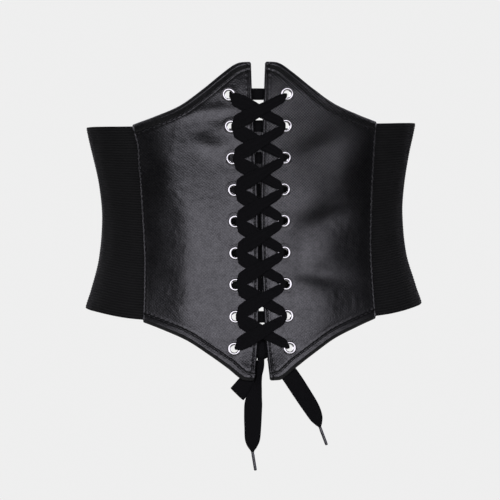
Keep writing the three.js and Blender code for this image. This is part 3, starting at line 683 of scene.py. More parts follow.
# %% Panel tables
CORNER_RADIUS = 1.5
HEM_WIDTH = 6.2
HEM_AT_SLOT = 4.3
HEM_CREST = 1.0
HEM_CREST_PLACE = 0.42
HEM_GROOVE = -0.15
HEM_DROP = 1
SEWN_GROOVE = 0.45
SEWN_SWELL = 0.2
PUCKER_HEIGHT = 0.3
PRESSED_DEPTH = 0.3
PRESSED_RADIUS = 5.4
UNEVEN_HEIGHT = 0.08
CRINKLE_HEIGHT = 0.05
EDGE_ROUND = 0.5
SLOT_HEM = 2.7
SEAM_HEM = 1.2
SEAM_RISE = 0.991
SEAM_DROP = 1.157
STITCH_PITCH = 4.2
FOLD_DEPTH = 1.2
TIP_CURL = 3.8
TIP_START = -98
TOP_LIFT = 3.8
TOP_START = 83
EYELET_ROWS = 9
EYELET_TOP = 88
EYELET_PITCH = 23.25
EYELET_INSET = 16.7
EYELET_WIDTH = 9.5
EYELET_HOLE = 5.5
EYELET_METAL = 0.55

PANEL_OUTLINE = table(
    "across rise drop",
    (0, 1, 1),
    (0.06, 0.998, 0.998),
    (0.105, 0.986, 0.986),
    (0.155, 0.942, 0.93),
    (0.25, 0.811, 0.788),
    (0.43, 0.543, 0.549),
    (0.62, 0.295, 0.314),
    (0.84, 0.11, 0.122),
    (1, 0, 0),
)
FOLDS = {
    "left": table(
        "across up turn length width height",
        (0.38, 0.84, 24, 0.2, 0.06, 0.5),
        (0.6, 0.52, 82, 0.4, 0.12, 0.4),
    ),
    "right": table(
        "across up turn length width height",
        (0.44, 0.84, 18, 0.24, 0.07, 0.5),
        (0.4, 0.3, 70, 0.28, 0.12, 0.4),
    ),
}
CORNER_FLARE = {"left": 2.6, "right": 0.4}
NOISE_SEED = {"left": 11, "right": 12}
CREASES = {
    "left": table(
        "x z turn length width height",
        (-34, 77, 8, 24, 4.5, -0.75),
        (-30, 70, 6, 18, 4, 0.3),
        (-34, 50.5, -12, 9, 5, -1.0),
        (-58, 95, 30, 20, 4, 0.2),
        (-56, 62, 70, 16, 4, 0.3),
        (-51, -55, 90, 46, 12, 1.8),
        (-63, 34, 90, 30, 10, 0.9),
        (-20, 62, 10, 24, 16, -1.1),
    ),
    "right": table(
        "x z turn length width height",
        (48, 50, 30, 19, 11, -2.3),
        (62, 32, 90, 16, 11, 1.1),
        (46, -6, 20, 18, 9, -2.0),
        (36, 8, 10, 16, 13, 1.5),
        (42, -45, -10, 19, 9, -2.6),
        (33, 90, -30, 14, 4, -0.3),
        (42, -52, 90, 44, 18, 2.5),
        (30, 44, 20, 14, 7, -0.5),
        (32, -29, 0, 15, 13, -1.7),
    ),
}

# %% Panel form


def slot_edge(z):
    return SLOT_HALF_WIDTH * smooth_curve(PANEL_SIDES, "height", "slot", height_share(z))


def seam_edge(side, z):
    """The side seam, which the upper corner's flare moves outwards."""
    flare = CORNER_FLARE[side] * smooth_step(SIDE_RISE - 18, SIDE_RISE, z)
    return seam_reach(z) + flare


def seam_reach(z):
    return SEAM_REACH * smooth_curve(PANEL_SIDES, "height", "seam", height_share(z))


def eyelet_height(row):
    return EYELET_TOP - (row - 1) * EYELET_PITCH


def eyelet_x(row):
    return float(slot_edge(eyelet_height(row))) + EYELET_INSET


def panel_edges(across):
    """Upper and lower edge by the share of the way from slot to seam, with the slot's corners round."""
    seam_top, seam_bottom = SIDE_RISE * SEAM_RISE, SIDE_DROP * SEAM_DROP
    corner = fallen_edge(across * SEAM_REACH, CORNER_RADIUS)
    rise, drop = (smooth_curve(PANEL_OUTLINE, "across", column, across) for column in ("rise", "drop"))
    top = seam_top + (FRONT_RISE - seam_top) * rise - corner
    bottom = -seam_bottom - (FRONT_DROP - seam_bottom) * drop + corner
    return top, bottom


def hem_width(across):
    """The upper and lower hems narrow towards the slot, where their seam runs straight to the corner."""
    return HEM_AT_SLOT + (HEM_WIDTH - HEM_AT_SLOT) * smooth_step(-0.02, 0.13, across)


def hills(rows, right, above):
    """The sum of soft hills and hollows: each falls off as a bell curve, slowly along its length and
    fast across its width, and is turned by its own angle."""
    turn = np.radians(rows["turn"])
    lengthwise = (right * np.cos(turn) + above * np.sin(turn)) / rows["length"]
    crosswise = (above * np.cos(turn) - right * np.sin(turn)) / rows["width"]
    return (rows["height"] * np.exp(-(lengthwise**2) - crosswise**2)).sum(axis=-1)


def fold_height(folds, across, up, x, z):
    """The folds, placed by shares of the panel. None reaches the eyelets or the seam."""
    column = slot_edge(z) + EYELET_INSET
    clear = smooth_step(column + EYELET_WIDTH, column + 2 * EYELET_WIDTH, x)
    clear = clear * (1 - smooth_step(SEAM_REACH - 2.4 * SEAM_OVERLAP, SEAM_REACH - 1.4 * SEAM_OVERLAP, x))
    right = across[..., None] - folds["across"]
    above = (up[..., None] - folds["up"]) * (FRONT_RISE + FRONT_DROP) / SEAM_REACH
    return hills(folds, right, above) * FOLD_DEPTH * clear


def crease_height(creases, x, z):
    """The creases, placed in millimetres in the view from the front."""
    x, z = np.asarray(x), np.asarray(z)
    return hills(creases, x[..., None] - creases["x"], z[..., None] - creases["z"])


def sewn_share(width):
    """How strongly a seam sinks in: fully in a wide hem, and less in a narrow one."""
    return np.clip((width - 1) / 1.6, 0.2, 1)


def hem_profile(distance, width):
    """The outer face's height by its distance from an edge: it rounds over the edge by an arc, rises
    steeply to a rolled crest before the middle of the hem, slopes down to the sewn groove, which is a
    narrow bell curve, and swells softly beyond it."""
    t = np.clip(distance / width, 0, 1)
    before = np.clip((HEM_CREST_PLACE - t) / HEM_CREST_PLACE, 0, 1)
    past = np.clip((t - HEM_CREST_PLACE) / (1 - HEM_CREST_PLACE), 0, 1)
    outer = (HEM_CREST + HEM_DROP) * before**1.15
    inner = (HEM_CREST - HEM_GROOVE) * past**1.12
    on_hem = 1 - smooth_step(width - 0.3, width + 0.3, distance)
    roll = (HEM_CREST - outer - inner) * width / HEM_WIDTH * on_hem
    groove = -SEWN_GROOVE * bell(distance - width, 0.42)
    swell = SEWN_SWELL * bell(distance - width - 1.5, 0.9)
    return roll - fallen_edge(distance, EDGE_ROUND) + sewn_share(width) * (groove + swell)


def pucker(distance, width, along):
    """How the stitches pull the leather: small mounds between the stitch holes, beside the groove."""
    mounds = 0.5 + 0.5 * np.cos(2 * np.pi * along / STITCH_PITCH)
    return PUCKER_HEIGHT * sewn_share(width) * mounds * bell(distance - width - 0.9, 0.8)


# %% Panel grid


def graded(length, close, fine, coarse):
    """Shares of a length, with steps that start very small at both ends, stay fine for a while and
    are coarse between."""
    start = np.concatenate([[0, 0.06, 0.16, 0.3, 0.48, 0.7, 0.95], np.arange(1.3, close, fine)])
    middle = np.linspace(close, length - close, max(2, round((length - 2 * close) / coarse)))
    return np.concatenate([start, middle, length - start[::-1]]) / length


def level_run(spots):
    """How far a line goes from each point to the next, without its rise."""
    return np.hypot(np.gradient(spots[:, 0]), np.gradient(spots[:, 1]))


def lean(spots, run):
    """The cosine of a slanting line's angle with the level, from its rise and its level run."""
    return np.cos(np.arctan2(np.gradient(spots[:, 2]), run))


def edge_distances(side, across, x, z):
    """For the top, bottom, slot and seam edges: how far each point lies from the edge, measured square
    to it, the hem's width there, and how far along the edge it lies. The upper edge's level run
    serves for the lower one too, which hardly differs."""
    shares = np.linspace(0.03, 1, 400)
    lines = [on_front(shares * SEAM_REACH, level, PANEL_OUTSIDE)[0] for level in panel_edges(shares)]
    run = level_run(lines[0])
    edges = {}
    for edge, height, spots in zip(("top", "bottom"), panel_edges(across), lines):
        distance = np.abs(height - z) * np.interp(across, shares, lean(spots, run))
        edges[edge] = distance, hem_width(across), np.interp(across, shares, along_route(spots))
    share = x / half_width(z)
    slant = np.cos(np.arctan(2 * WAIST_FRONT / WAIST_WIDTH * share / np.sqrt(1.0001 - share**2)))
    edges["slot"] = x - slot_edge(z), SLOT_HEM, z
    edges["seam"] = (seam_edge(side, z) - x) / slant, SEAM_HEM, z
    return edges


def panel_places(side, across, up):
    """Where the panel's points lie, at shares across and up. The flare only moves its outer part."""
    top, bottom = panel_edges(across)
    z = bottom + (top - bottom) * up
    flare = (seam_edge(side, z) - seam_reach(z)) * smooth_step(0.6, 1, across)
    return slot_edge(z) + (seam_reach(z) - slot_edge(z)) * across + flare, z


def cut_holes(quads, holes, x, z):
    """Leaves out the quads whose middles lie in a hole, and moves the holes' rims onto circles."""
    radius = EYELET_HOLE / 2 + EYELET_METAL + 0.3
    inside = np.zeros(len(quads), bool)
    for hole_x, hole_z in holes:
        inside |= np.hypot(x[quads].mean(axis=1) - hole_x, z[quads].mean(axis=1) - hole_z) < radius
    rim = np.intersect1d(quads[inside], quads[~inside])
    for hole_x, hole_z in holes:
        near = rim[np.hypot(x[rim] - hole_x, z[rim] - hole_z) < 2 * radius]
        away = np.hypot(x[near] - hole_x, z[near] - hole_z)
        x[near] = hole_x + (x[near] - hole_x) * radius / away
        z[near] = hole_z + (z[near] - hole_z) * radius / away
    return quads[~inside]


def tips(x, z):
    """How far the tips beside the slot lean: the upper ones out, and the lower ones in."""
    near_slot = 1 - smooth_step(10, 30, x)
    past_top = np.clip(z - TOP_START, 0, None) / (FRONT_RISE - TOP_START)
    past_bottom = np.clip(TIP_START - z, 0, None) / (FRONT_DROP + TIP_START)
    lift = TOP_LIFT * past_top**2 * (0.35 + 0.65 * near_slot)
    return lift - TIP_CURL * past_bottom**1.4 * (0.55 + 0.45 * near_slot)


def panel_piece(side):
    columns = graded(SEAM_REACH, 7, 0.42, 0.85)
    rows = graded(FRONT_RISE + FRONT_DROP - 30, 11, 0.45, 0.9)
    across, up = (part.ravel() for part in np.meshgrid(columns, rows))
    x, z = panel_places(side, across, up)
    holes = [(eyelet_x(row), eyelet_height(row)) for row in range(1, EYELET_ROWS + 1)]
    quads = cut_holes(grid_quads(len(rows), len(columns)), holes, x, z)

    # The hem, which follows the nearest edge, and the puckers beside the seams
    edges = edge_distances(side, across, x, z).values()
    hems = np.stack([hem_profile(distance, width) for distance, width, _ in edges])
    lowest = np.minimum.reduce(hems)
    hem = np.where(lowest < 0, lowest, np.maximum.reduce(hems))
    puckers = sum(pucker(distance, width, along) for distance, width, along in edges)

    # What bends both faces: folds, tips, the rings that the eyelets press, creases and unevenness
    distance = np.minimum.reduce([part for part, _, _ in edges])
    sign, seed, flat = SIGNS[side], NOISE_SEED[side], np.stack([x, z], axis=1)
    uneven = UNEVEN_HEIGHT * soft_noise(flat, 24, seed)
    crinkle = CRINKLE_HEIGHT * soft_noise(flat * (1, 0.8), 5.5, seed + 10)
    crinkled = smooth_step(-0.2, 1.1, soft_noise(flat, 40, seed + 20))
    rings = (np.hypot(x - hole_x, z - hole_z) - PRESSED_RADIUS for hole_x, hole_z in holes)
    pressed = sum(bell(ring, 0.7) for ring in rings)
    swell = fold_height(FOLDS[side], across, up, x, z) + tips(x, z) - PRESSED_DEPTH * pressed
    creases = crease_height(CREASES[side], sign * x, z)
    swell = swell + smooth_step(0.5, 12, distance) * (creases + uneven + crinkle * crinkled)
    outer = on_front(sign * x, z, PANEL_OUTSIDE + hem + puckers + swell)[0]
    inner_round = 0.3 * (1 - np.clip(distance, 0, 0.5) / 0.5) ** 2
    inner = on_front(sign * x, z, PANEL_INSIDE + inner_round + swell)[0]

    # Leave out the points that only the holes used
    kept = np.unique(quads)
    renumber = np.zeros(len(x), int)
    renumber[kept] = np.arange(len(kept))
    points, faces = close_wall(outer[kept], inner[kept], renumber[quads])
    cloth = np.tile((flat * (sign, 1))[kept], (2, 1))
    inner_face = np.zeros(len(faces), bool)
    inner_face[len(quads) : 2 * len(quads)] = distance[quads].mean(axis=1) > 4
    embossed = np.exp(-(((x - 40) / 36) ** 2) - ((z - 60) / 52) ** 2) if side == "right" else 0 * x
    values = {
        "hem_wear": np.tile(np.exp(-distance[kept] / 2), 2),
        "hatch": np.tile((0.15 + 0.85 * embossed)[kept], 2),
    }
    materials = [panel_leather, leather_back]
    piece = make_piece(f"leather_panel_{side}", points, faces, materials, cloth, inner_face, values)
    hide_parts(f"panel_{side}")


for side in SIGNS:
    panel_piece(side)

# %% [markdown]
# ## Stitching
# The hems are sewn down with black thread, about six stitches to the inch. Each stitch is a short
# bent tube that dips into the leather at both ends. All of a panel's stitches are one mesh, made
# together: one array holds every stitch's middle, and another the shape that they share.

# %% Stitches
THREAD_RADIUS = 0.34


def stitch_line(side, edge):
    """The middles of the stitches along one edge of a panel, with the outward and lengthwise ways."""
    fine = np.linspace(0, 1, 1200)
    if edge in ("top", "bottom"):
        across = 0.035 + (0.955 - 0.035) * fine
        level = panel_edges(across)[edge == "bottom"]
        spots = on_front(across * SEAM_REACH, level, PANEL_OUTSIDE)[0]
        inset = hem_width(across) / lean(spots, level_run(spots))
        z = level - inset if edge == "top" else level + inset
        x = slot_edge(z) + (seam_reach(z) - slot_edge(z)) * across
    else:
        top, bottom = (float(level) for level in panel_edges(np.array(0.03 if edge == "slot" else 1.0)))
        z = bottom + HEM_WIDTH + 1.5 + (top - bottom - 2 * HEM_WIDTH - 3) * fine
        x = slot_edge(z) + SLOT_HEM if edge == "slot" else seam_edge(side, z) - SEAM_HEM
    spots, normal, _, _ = on_front(SIGNS[side] * x, z, PANEL_OUTSIDE)
    run = along_route(spots)
    at = np.arange(STITCH_PITCH / 2, run[-1], STITCH_PITCH)
    pick = lambda values: np.stack([np.interp(at, run, values[:, axis]) for axis in range(3)], axis=1)
    return pick(spots), unit(pick(normal)), unit(pick(np.gradient(spots, axis=0)))


def stitches_piece(side):
    """Every stitch's ring of points: its middle, moved lengthwise, dipped at the ends by the square
    of that distance, and round with a radius that narrows at the ends."""
    lines = [stitch_line(side, edge) for edge in ("top", "bottom", "slot", "seam")]
    middle, normal, way = (np.concatenate(parts) for parts in zip(*lines))
    t, turn = np.linspace(-1, 1, 7), full_turn(8)
    half = STITCH_PITCH * 0.38
    radius = THREAD_RADIUS * np.sqrt(1.02 - t**4)
    beside = np.cross(normal, way)
    dip = (0.02 - 0.55 * t**2)[:, None]
    spine = middle[:, None] + way[:, None] * (half * t)[:, None] + normal[:, None] * dip
    ring = np.cos(turn)[:, None] * beside[:, None] + np.sin(turn)[:, None] * normal[:, None]
    points = spine[:, :, None] + ring[:, None] * radius[:, None, None]
    one = tube_quads(len(t), len(turn))
    quads = (one + np.arange(len(middle))[:, None, None] * len(t) * len(turn)).reshape(-1, 4)
    cloth = np.tile(on_cloth(turn * THREAD_RADIUS, (half * t)[:, None]), (len(middle), 1))
    piece = make_piece(f"panel_stitching_{side}", points.reshape(-1, 3), quads, [sewing_thread], cloth)
    print(f"{len(middle)} stitches on the {side} panel")


for side in SIGNS:
    stitches_piece(side)

# %% [markdown]
# ## Elastic bands
# The sides and back are one ribbed elastic band each, sewn under the panel in front and held by the
# fastening behind. Its ribs are real relief, because they show at the outline and in raking light:
# the outer face rises and falls as a wave with one crest to each rib.

# %% Bands
BAND_OUTLINE = table(
    "along rise drop",
    (0, 0.96, 1.14),
    (0.1, 0.972, 1.11),
    (0.25, 0.99, 1.04),
    (0.42, 1, 1),
    (0.7, 1.01, 0.985),
    (1, 1.014, 0.976),
)
RIBS = 75
RIB_HEIGHT = 0.32
POINTS_PER_RIB = 4
BAND_COLUMNS = 104
BAND_LENGTH = 250
BACK_GAP = 1.5


def band_piece(side):
    """The band's two faces. Along runs from under the panel to the back, and up from edge to edge."""
    rows = RIBS * POINTS_PER_RIB + 1
    along, up = np.meshgrid(np.linspace(0, 1, BAND_COLUMNS), np.linspace(0, 1, rows))
    along, up = along.ravel(), up.ravel()
    top = SIDE_RISE * smooth_curve(BAND_OUTLINE, "along", "rise", along)
    bottom = -SIDE_DROP * smooth_curve(BAND_OUTLINE, "along", "drop", along)
    z = bottom + (top - bottom) * up
    front = np.arcsin((seam_reach(z) - SEAM_OVERLAP) / half_width(z))
    back = np.pi - np.arcsin(BACK_GAP / half_width(z))
    angle = SIGNS[side] * (front + (back - front) * along)
    wave = np.cos(2 * np.pi * RIBS * up)
    ribs = RIB_HEIGHT / 2 * (wave - 1)
    rounded = fallen_edge(np.minimum(up, 1 - up) * (top - bottom), 0.6)
    flat = np.stack([along * BAND_LENGTH, z], axis=1)
    ripple = 0.16 * soft_noise(flat * (1, 0.35), 16, 41) * smooth_step(0.0, 0.08, along)
    pulled = 0.22 * bell(along - 0.062, 0.02) * soft_noise(flat * (0.3, 1), 7, 42)
    outer = place(angle, z, ELASTIC_THICKNESS + ribs - rounded + ripple + pulled)[0]
    inner = place(angle, z, 0.2 - ribs * 0.5 + rounded + ripple + pulled)[0]
    points, faces = close_wall(outer, inner, grid_quads(rows, BAND_COLUMNS))
    # The rib attribute, 1 on the crests and 0 in the valleys, drives the elastic's painted rib shade
    crest = {"rib": np.tile(0.5 + 0.5 * wave, 2)}
    cloth = np.tile(flat, (2, 1))
    piece = make_piece(f"ribbed_elastic_{side}", points, faces, [side_elastic], cloth, None, crest)
    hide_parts(f"elastic_{side}")


for side in SIGNS:
    band_piece(side)

# %% [markdown]
# ## Back fastening
# The photograph doesn't show the back, so the fastening is one plain folded strip that covers the two
# ends of the elastic: a flap outside, a flap inside and a narrow web between them. Each is a wall over
# a grid that follows the skin, like a panel, with a sewn groove along the outer flap's edges.

# %% Fastening
CLASP_WIDTH = 26
CLASP_WALL = 1.2
CLASP_WEB = 2.4
CLASP_INSIDE = -0.45
CLASP_OUTSIDE = ELASTIC_THICKNESS + 0.3
CLASP_HEM = 3.2


def strip_wall(width, inner_level, outer_level, groove):
    """A wall up the middle of the back: its faces round over at every edge by an arc, and the outer
    one has a narrow groove beside its long edges."""
    rise, drop = SIDE_RISE * BAND_OUTLINE["rise"][-1], SIDE_DROP * BAND_OUTLINE["drop"][-1]
    columns = width * (graded(width, 1.2 if width < 5 else 4, 0.3, 0.6) - 0.5)
    x, z = np.meshgrid(columns, (rise + drop) * graded(rise + drop, 4, 0.4, 1.4) - drop)
    rows, columns = x.shape
    x, z = x.ravel(), z.ravel()
    edge = np.minimum(width / 2 - np.abs(x), np.minimum(rise - z, z + drop))
    rounded = fallen_edge(edge, min(0.5, (outer_level - inner_level) / 2))
    sewn = groove * bell(width / 2 - np.abs(x) - CLASP_HEM, 0.4)
    angle = np.pi - np.arcsin(x / half_width(z))
    outer = place(angle, z, outer_level - rounded - sewn)[0]
    inner = place(angle, z, inner_level + rounded)[0]
    points, quads = close_wall(outer, inner, grid_quads(rows, columns))
    return points, quads, np.tile(np.stack([x, z], axis=1), (2, 1))


walls = [
    strip_wall(CLASP_WIDTH, CLASP_OUTSIDE, CLASP_OUTSIDE + CLASP_WALL, 0.22),
    strip_wall(CLASP_WIDTH, CLASP_INSIDE - CLASP_WALL, CLASP_INSIDE, 0),
    strip_wall(CLASP_WEB, CLASP_INSIDE - 0.2, CLASP_OUTSIDE + 0.2, 0),
]
starts = np.cumsum([0, *(len(points) for points, _, _ in walls[:-1])])
fastening = make_piece(
    "back_fastening",
    np.concatenate([points for points, _, _ in walls]),
    np.concatenate([quads + start for (_, quads, _), start in zip(walls, starts)]),
    [clasp_leather],
    np.concatenate([cloth for _, _, cloth in walls]),
)
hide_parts("back_clasp")

# %% [markdown]
# ## Eyelets
# Eighteen nickel eyelets line the slot. Each is turned metal: a domed ring in front, a barrel through
# the leather, and a rolled washer behind. One profile, turned about the hole, serves them all.

# %% Eyelets
EYELET_PROFILE = table(
    "radius out",
    (3.28, 4.2),
    (4.3, 4.12),
    (4.7, 4.16),
    (4.82, 4.34),
    (4.78, 4.62),
    (4.62, 4.87),
    (4.3, 5.04),
    (3.9, 5.12),
    (3.5, 5.1),
    (3.14, 4.97),
    (2.86, 4.72),
    (2.76, 4.4),
    (2.75, 4),
    (2.75, 1.9),
    (2.78, 1.5),
    (2.95, 1.27),
    (3.3, 1.22),
    (3.8, 1.3),
    (4.28, 1.46),
    (4.4, 1.62),
    (4.2, 1.76),
    (3.32, 1.84),
    (3.28, 2.2),
)


def eyelet_piece(side, row):
    """The profile's closed curve, smoothed by distance along it, and turned about the hole. It sits
    as deep as the crease that crosses its place."""
    radius, out = (np.append(EYELET_PROFILE[part], EYELET_PROFILE[part][0]) for part in ("radius", "out"))
    at = along_route(np.stack([radius, out], axis=1))
    rows = table("at radius out", *zip(at, radius, out))
    fine = np.union1d(np.linspace(0, at[-1], 56), at)[:-1]
    radius, out = (smooth_curve(rows, "at", part, fine) for part in ("radius", "out"))
    turn = full_turn(64)
    x, z = SIGNS[side] * eyelet_x(row), eyelet_height(row)
    middle, normal, along, up = on_front(x, z, crease_height(CREASES[side], x, z))
    ring = np.cos(turn)[:, None, None] * along + np.sin(turn)[:, None, None] * up
    points = middle + ring * radius[:, None] + normal * out[:, None]
    first = np.arange(len(turn) * len(radius)).reshape(len(turn), len(radius))
    beside = np.roll(first, -1, axis=1)
    quads = np.stack([first, beside, np.roll(beside, -1, axis=0), np.roll(first, -1, axis=0)], axis=-1)
    name = f"nickel_eyelet_{side}_{row}"
    piece = make_piece(name, points.reshape(-1, 3), quads.reshape(-1, 4), [eyelet_nickel])
    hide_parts(f"eyelet_{side}_{row}")


for side in SIGNS:
    for row in range(1, EYELET_ROWS + 1):
        eyelet_piece(side, row)

# %% [markdown]
# ## Crossing lace
# Two strands cross the front between the eyelets and run straight across behind. Each leaves a hole as
# a narrow gathered cord, opens out over the ring, crosses the middle, narrows again and dives into the
# next hole. The stations of its route are found from the eyelets, and one strand is the mirror image
# of the other, one layer lower.

# %% Lace stations
LACE_GATHERED = 7.4
LACE_SPREAD = 10.8
CLEARANCE = 0.3
KNOT_WIDTH = 13
KNOT_HEIGHT = 17
KNOT_DEPTH = 6.8
HEM_ROLL = 0.45
EYELET_CROWN = 0.85
LACE_BACK = PANEL_INSIDE - EYELET_METAL - CLEARANCE * 2.3 - LACE_THICKNESS / 2
LACE_BACK_UNDER = LACE_BACK - LACE_THICKNESS - CLEARANCE
LACE_FRONT = PANEL_OUTSIDE + HEM_ROLL + CLEARANCE * 1.4 + LACE_THICKNESS / 2
LACE_FRONT_OVER = LACE_FRONT + LACE_THICKNESS + CLEARANCE
LACE_ON_RIM = PANEL_OUTSIDE + CLEARANCE + EYELET_CROWN + CLEARANCE + LACE_THICKNESS / 2
KNOT_LEVEL = PANEL_INSIDE - CLEARANCE * 2 - KNOT_DEPTH / 2
MIDDLE_OF_HOLE = PANEL_INSIDE + PANEL_THICKNESS / 2
FROM_MIDDLE = EYELET_HOLE * 0.165
BESIDE = EYELET_HOLE * 0.175
ON_RIM = EYELET_HOLE / 2 + EYELET_METAL
PAST_RIM = EYELET_WIDTH / 2 + 1.5 * LACE_THICKNESS
STATION = "x z out width thick lean turn gather"


def in_hole(row, sign, turn, out=MIDDLE_OF_HOLE):
    x = sign * (eyelet_x(row) - FROM_MIDDLE)
    return x, eyelet_height(row) - sign * BESIDE, out, 2.3, 1.5, 0, turn, 0


def at_bend(row, sign, turn, out):
    x = sign * (eyelet_x(row) - FROM_MIDDLE * 1.15)
    return x, eyelet_height(row) - sign * BESIDE, out, 3.1, 1.1, 0, turn, 0.02


def behind(row, sign, distance, width, level):
    x = sign * (eyelet_x(row) - distance)
    drop = sign * BESIDE * (0.4 if distance > ON_RIM else 1.1)
    return x, eyelet_height(row) - drop, level, width, 0.75, 0, 180, 0.08


def back_run(row, level):
    """Behind the panels, from the eyelet at -X to the one at +X."""
    return [
        at_bend(row, -1, 135, level - 0.2),
        behind(row, -1, ON_RIM, 2.2, level),
        behind(row, -1, 7, LACE_GATHERED, level),
        behind(row, 1, 7, LACE_GATHERED, level),
        behind(row, 1, ON_RIM, 2.2, level),
        at_bend(row, 1, 225, level - 0.2),
    ]


def front_run(row, over, starts_narrow):
    """In front, from the eyelet at +X down across the middle to the next one at -X. The lace lies
    flatter, and so broader, towards the belt's left eyelets."""
    from_x, to_x = eyelet_x(row), -eyelet_x(row + 1)
    from_z, to_z = eyelet_height(row) - BESIDE, eyelet_height(row + 1) + BESIDE
    slope = math.atan2(from_z - to_z, from_x - to_x)
    lean = -math.degrees(slope)
    crossing = LACE_GATHERED / 2 / math.sin(slope) + LACE_THICKNESS
    first, last = (LACE_GATHERED, LACE_SPREAD) if starts_narrow else (LACE_SPREAD, LACE_GATHERED)
    line = [
        (from_x - ON_RIM, LACE_ON_RIM, first * 0.8, lean * 0.6, 0.15),
        (from_x - PAST_RIM, LACE_FRONT + 0.2, first * 0.95, lean, 0.2),
        (crossing, over, first, lean, 0.25),
        (0, over, (first + last) / 2, lean, 0.25),
        (-crossing, over, last, lean, 0.25),
        (to_x + PAST_RIM, LACE_FRONT + 0.2, last * 0.95, lean, 0.2),
        (to_x + ON_RIM, LACE_ON_RIM, last * 0.8, lean * 0.6, 0.15),
    ]
    level = lambda x: from_z + (x - from_x) / (to_x - from_x) * (to_z - from_z)
    return [(x, level(x), out, width, 0.72, turned, 0, gather) for x, out, width, turned, gather in line]


def strand_stations(over, under, first_run):
    """One strand's whole route: down through the nine rows, and at last to the knot."""
    if first_run:
        route = [in_hole(1, -1, 90, MIDDLE_OF_HOLE - CLEARANCE), *back_run(1, under), in_hole(1, 1, 270)]
    else:
        route = [in_hole(1, 1, 270, MIDDLE_OF_HOLE + CLEARANCE)]
    for row in range(1, EYELET_ROWS):
        route += [at_bend(row, 1, 315, LACE_ON_RIM + 0.2), *front_run(row, over, first_run)]
        route += [at_bend(row + 1, -1, 45, LACE_ON_RIM + 0.2), in_hole(row + 1, -1, 90)]
        if row + 1 < EYELET_ROWS:
            route += [*back_run(row + 1, under), in_hole(row + 1, 1, 270)]
    knot_side = -(KNOT_WIDTH / 2 + CLEARANCE)
    last_height = eyelet_height(EYELET_ROWS)
    half_way = (knot_side - eyelet_x(EYELET_ROWS) + ON_RIM) / 2
    route += [
        at_bend(EYELET_ROWS, -1, 135, LACE_BACK - 0.2),
        behind(EYELET_ROWS, -1, ON_RIM, 2.2, LACE_BACK),
        (half_way, last_height, (LACE_BACK + KNOT_LEVEL) / 2, LACE_GATHERED * 0.7, 0.9, 0, 180, 0.1),
        (knot_side, last_height, KNOT_LEVEL, LACE_GATHERED * 0.6, 0.9, 0, 180, 0.1),
    ]
    return table(STATION, *route)


def ribbon_from(rows, step):
    """A ribbon's smooth route, with its width's and its face's directions. A station leans the width
    away from upright, and its turn tips the face from outwards towards the way ahead."""
    point, normal, along, up = on_front(rows["x"], rows["z"], rows["out"])
    lean, turn = np.radians(rows["lean"])[:, None], np.radians(rows["turn"])[:, None]
    across = up * np.cos(lean) + along * np.sin(lean)
    forward = up * np.sin(lean) - along * np.cos(lean)
    face = normal * np.cos(turn) + forward * np.sin(turn)
    columns = dict(zip("xyz", point.T), width=rows["width"], thick=rows["thick"], gather=rows["gather"])
    columns.update(zip(("ax", "ay", "az"), across.T))
    columns.update(zip(("fx", "fy", "fz"), face.T))
    fine = finer(columns, step)
    vector = lambda names: np.stack([fine[name] for name in names], axis=1)
    across = unit(vector(("ax", "ay", "az")))
    face = vector(("fx", "fy", "fz"))
    face = unit(face - across * (face * across).sum(axis=1, keepdims=True))
    return vector("xyz"), across, face, fine


def lace_piece(name, node, rows, folds, seed, mirrored=False):
    route, across, face, fine = ribbon_from(rows, 0.75)
    section = [np.maximum(fine[part], 0) for part in ("width", "thick", "gather")]
    points, quads, cloth = ribbon(route, across, face, *section, folds, seed)
    if mirrored:
        points = points * (-1, 1, 1)
    piece = make_piece(name, points, quads, [lace_braid], cloth)
    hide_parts(node)


# %% Lace strands
upper = strand_stations(LACE_FRONT_OVER, LACE_BACK, True)
lower = strand_stations(LACE_FRONT, LACE_BACK_UNDER, False)
lace_piece("crossing_lace_upper", "lace_strand_a", upper, 2.6, 51)
lace_piece("crossing_lace_lower", "lace_strand_b", lower, 2.9, 52, mirrored=True)

# %% [markdown]
# ## Bow
# The bow's knot and its loop lie in the slot and behind the left panel. The loop is the flat lace laid
# double, open at its end. The knot is a lump pulled tight: a tube along the knot whose radius has a
# profile, with the lace's own folds running round its middle and along its ends.

# %% Loop and knot
LOOP_START, LOOP_END = (-0.8, -106.2), (-18.8, -130.8)
LOOP_CURVE, LOOP_OUT, LOOP_APART = 1.35, -2.8, 1.9


def loop_stations():
    """The loop leaves the knot downwards and bends aside: its share of the way across is its share of
    the way down, raised to a power."""
    spots = table(
        "share out wide turn gather",
        (0, 0, 0.42, 0, 0.35),
        (0.2, 0, 0.7, 0, 0.25),
        (0.4, 0, 0.92, 0, 0.12),
        (0.7, 0, 1, 0, 0.05),
        (0.96, 0, 1, 10, 0),
        (1, -0.5, 1, 90, 0),
        (0.96, -1, 1, 170, 0),
        (0.7, -1, 1, 180, 0.05),
        (0.4, -1, 0.92, 180, 0.12),
        (0.2, -1, 0.7, 180, 0.25),
        (0, -1, 0.42, 180, 0.35),
    )
    share, aside, down = spots["share"], LOOP_END[0] - LOOP_START[0], LOOP_END[1] - LOOP_START[1]
    lean = np.degrees(np.arctan2(down, -aside * LOOP_CURVE * share ** (LOOP_CURVE - 1)))
    x, z = LOOP_START[0] + aside * share**LOOP_CURVE, LOOP_START[1] + down * share
    out, width, thick = LOOP_OUT + LOOP_APART * spots["out"], LACE_WIDTH * spots["wide"], 0.85 + 0 * share
    return table(STATION, *zip(x, z, out, width, thick, lean, spots["turn"], spots["gather"]))


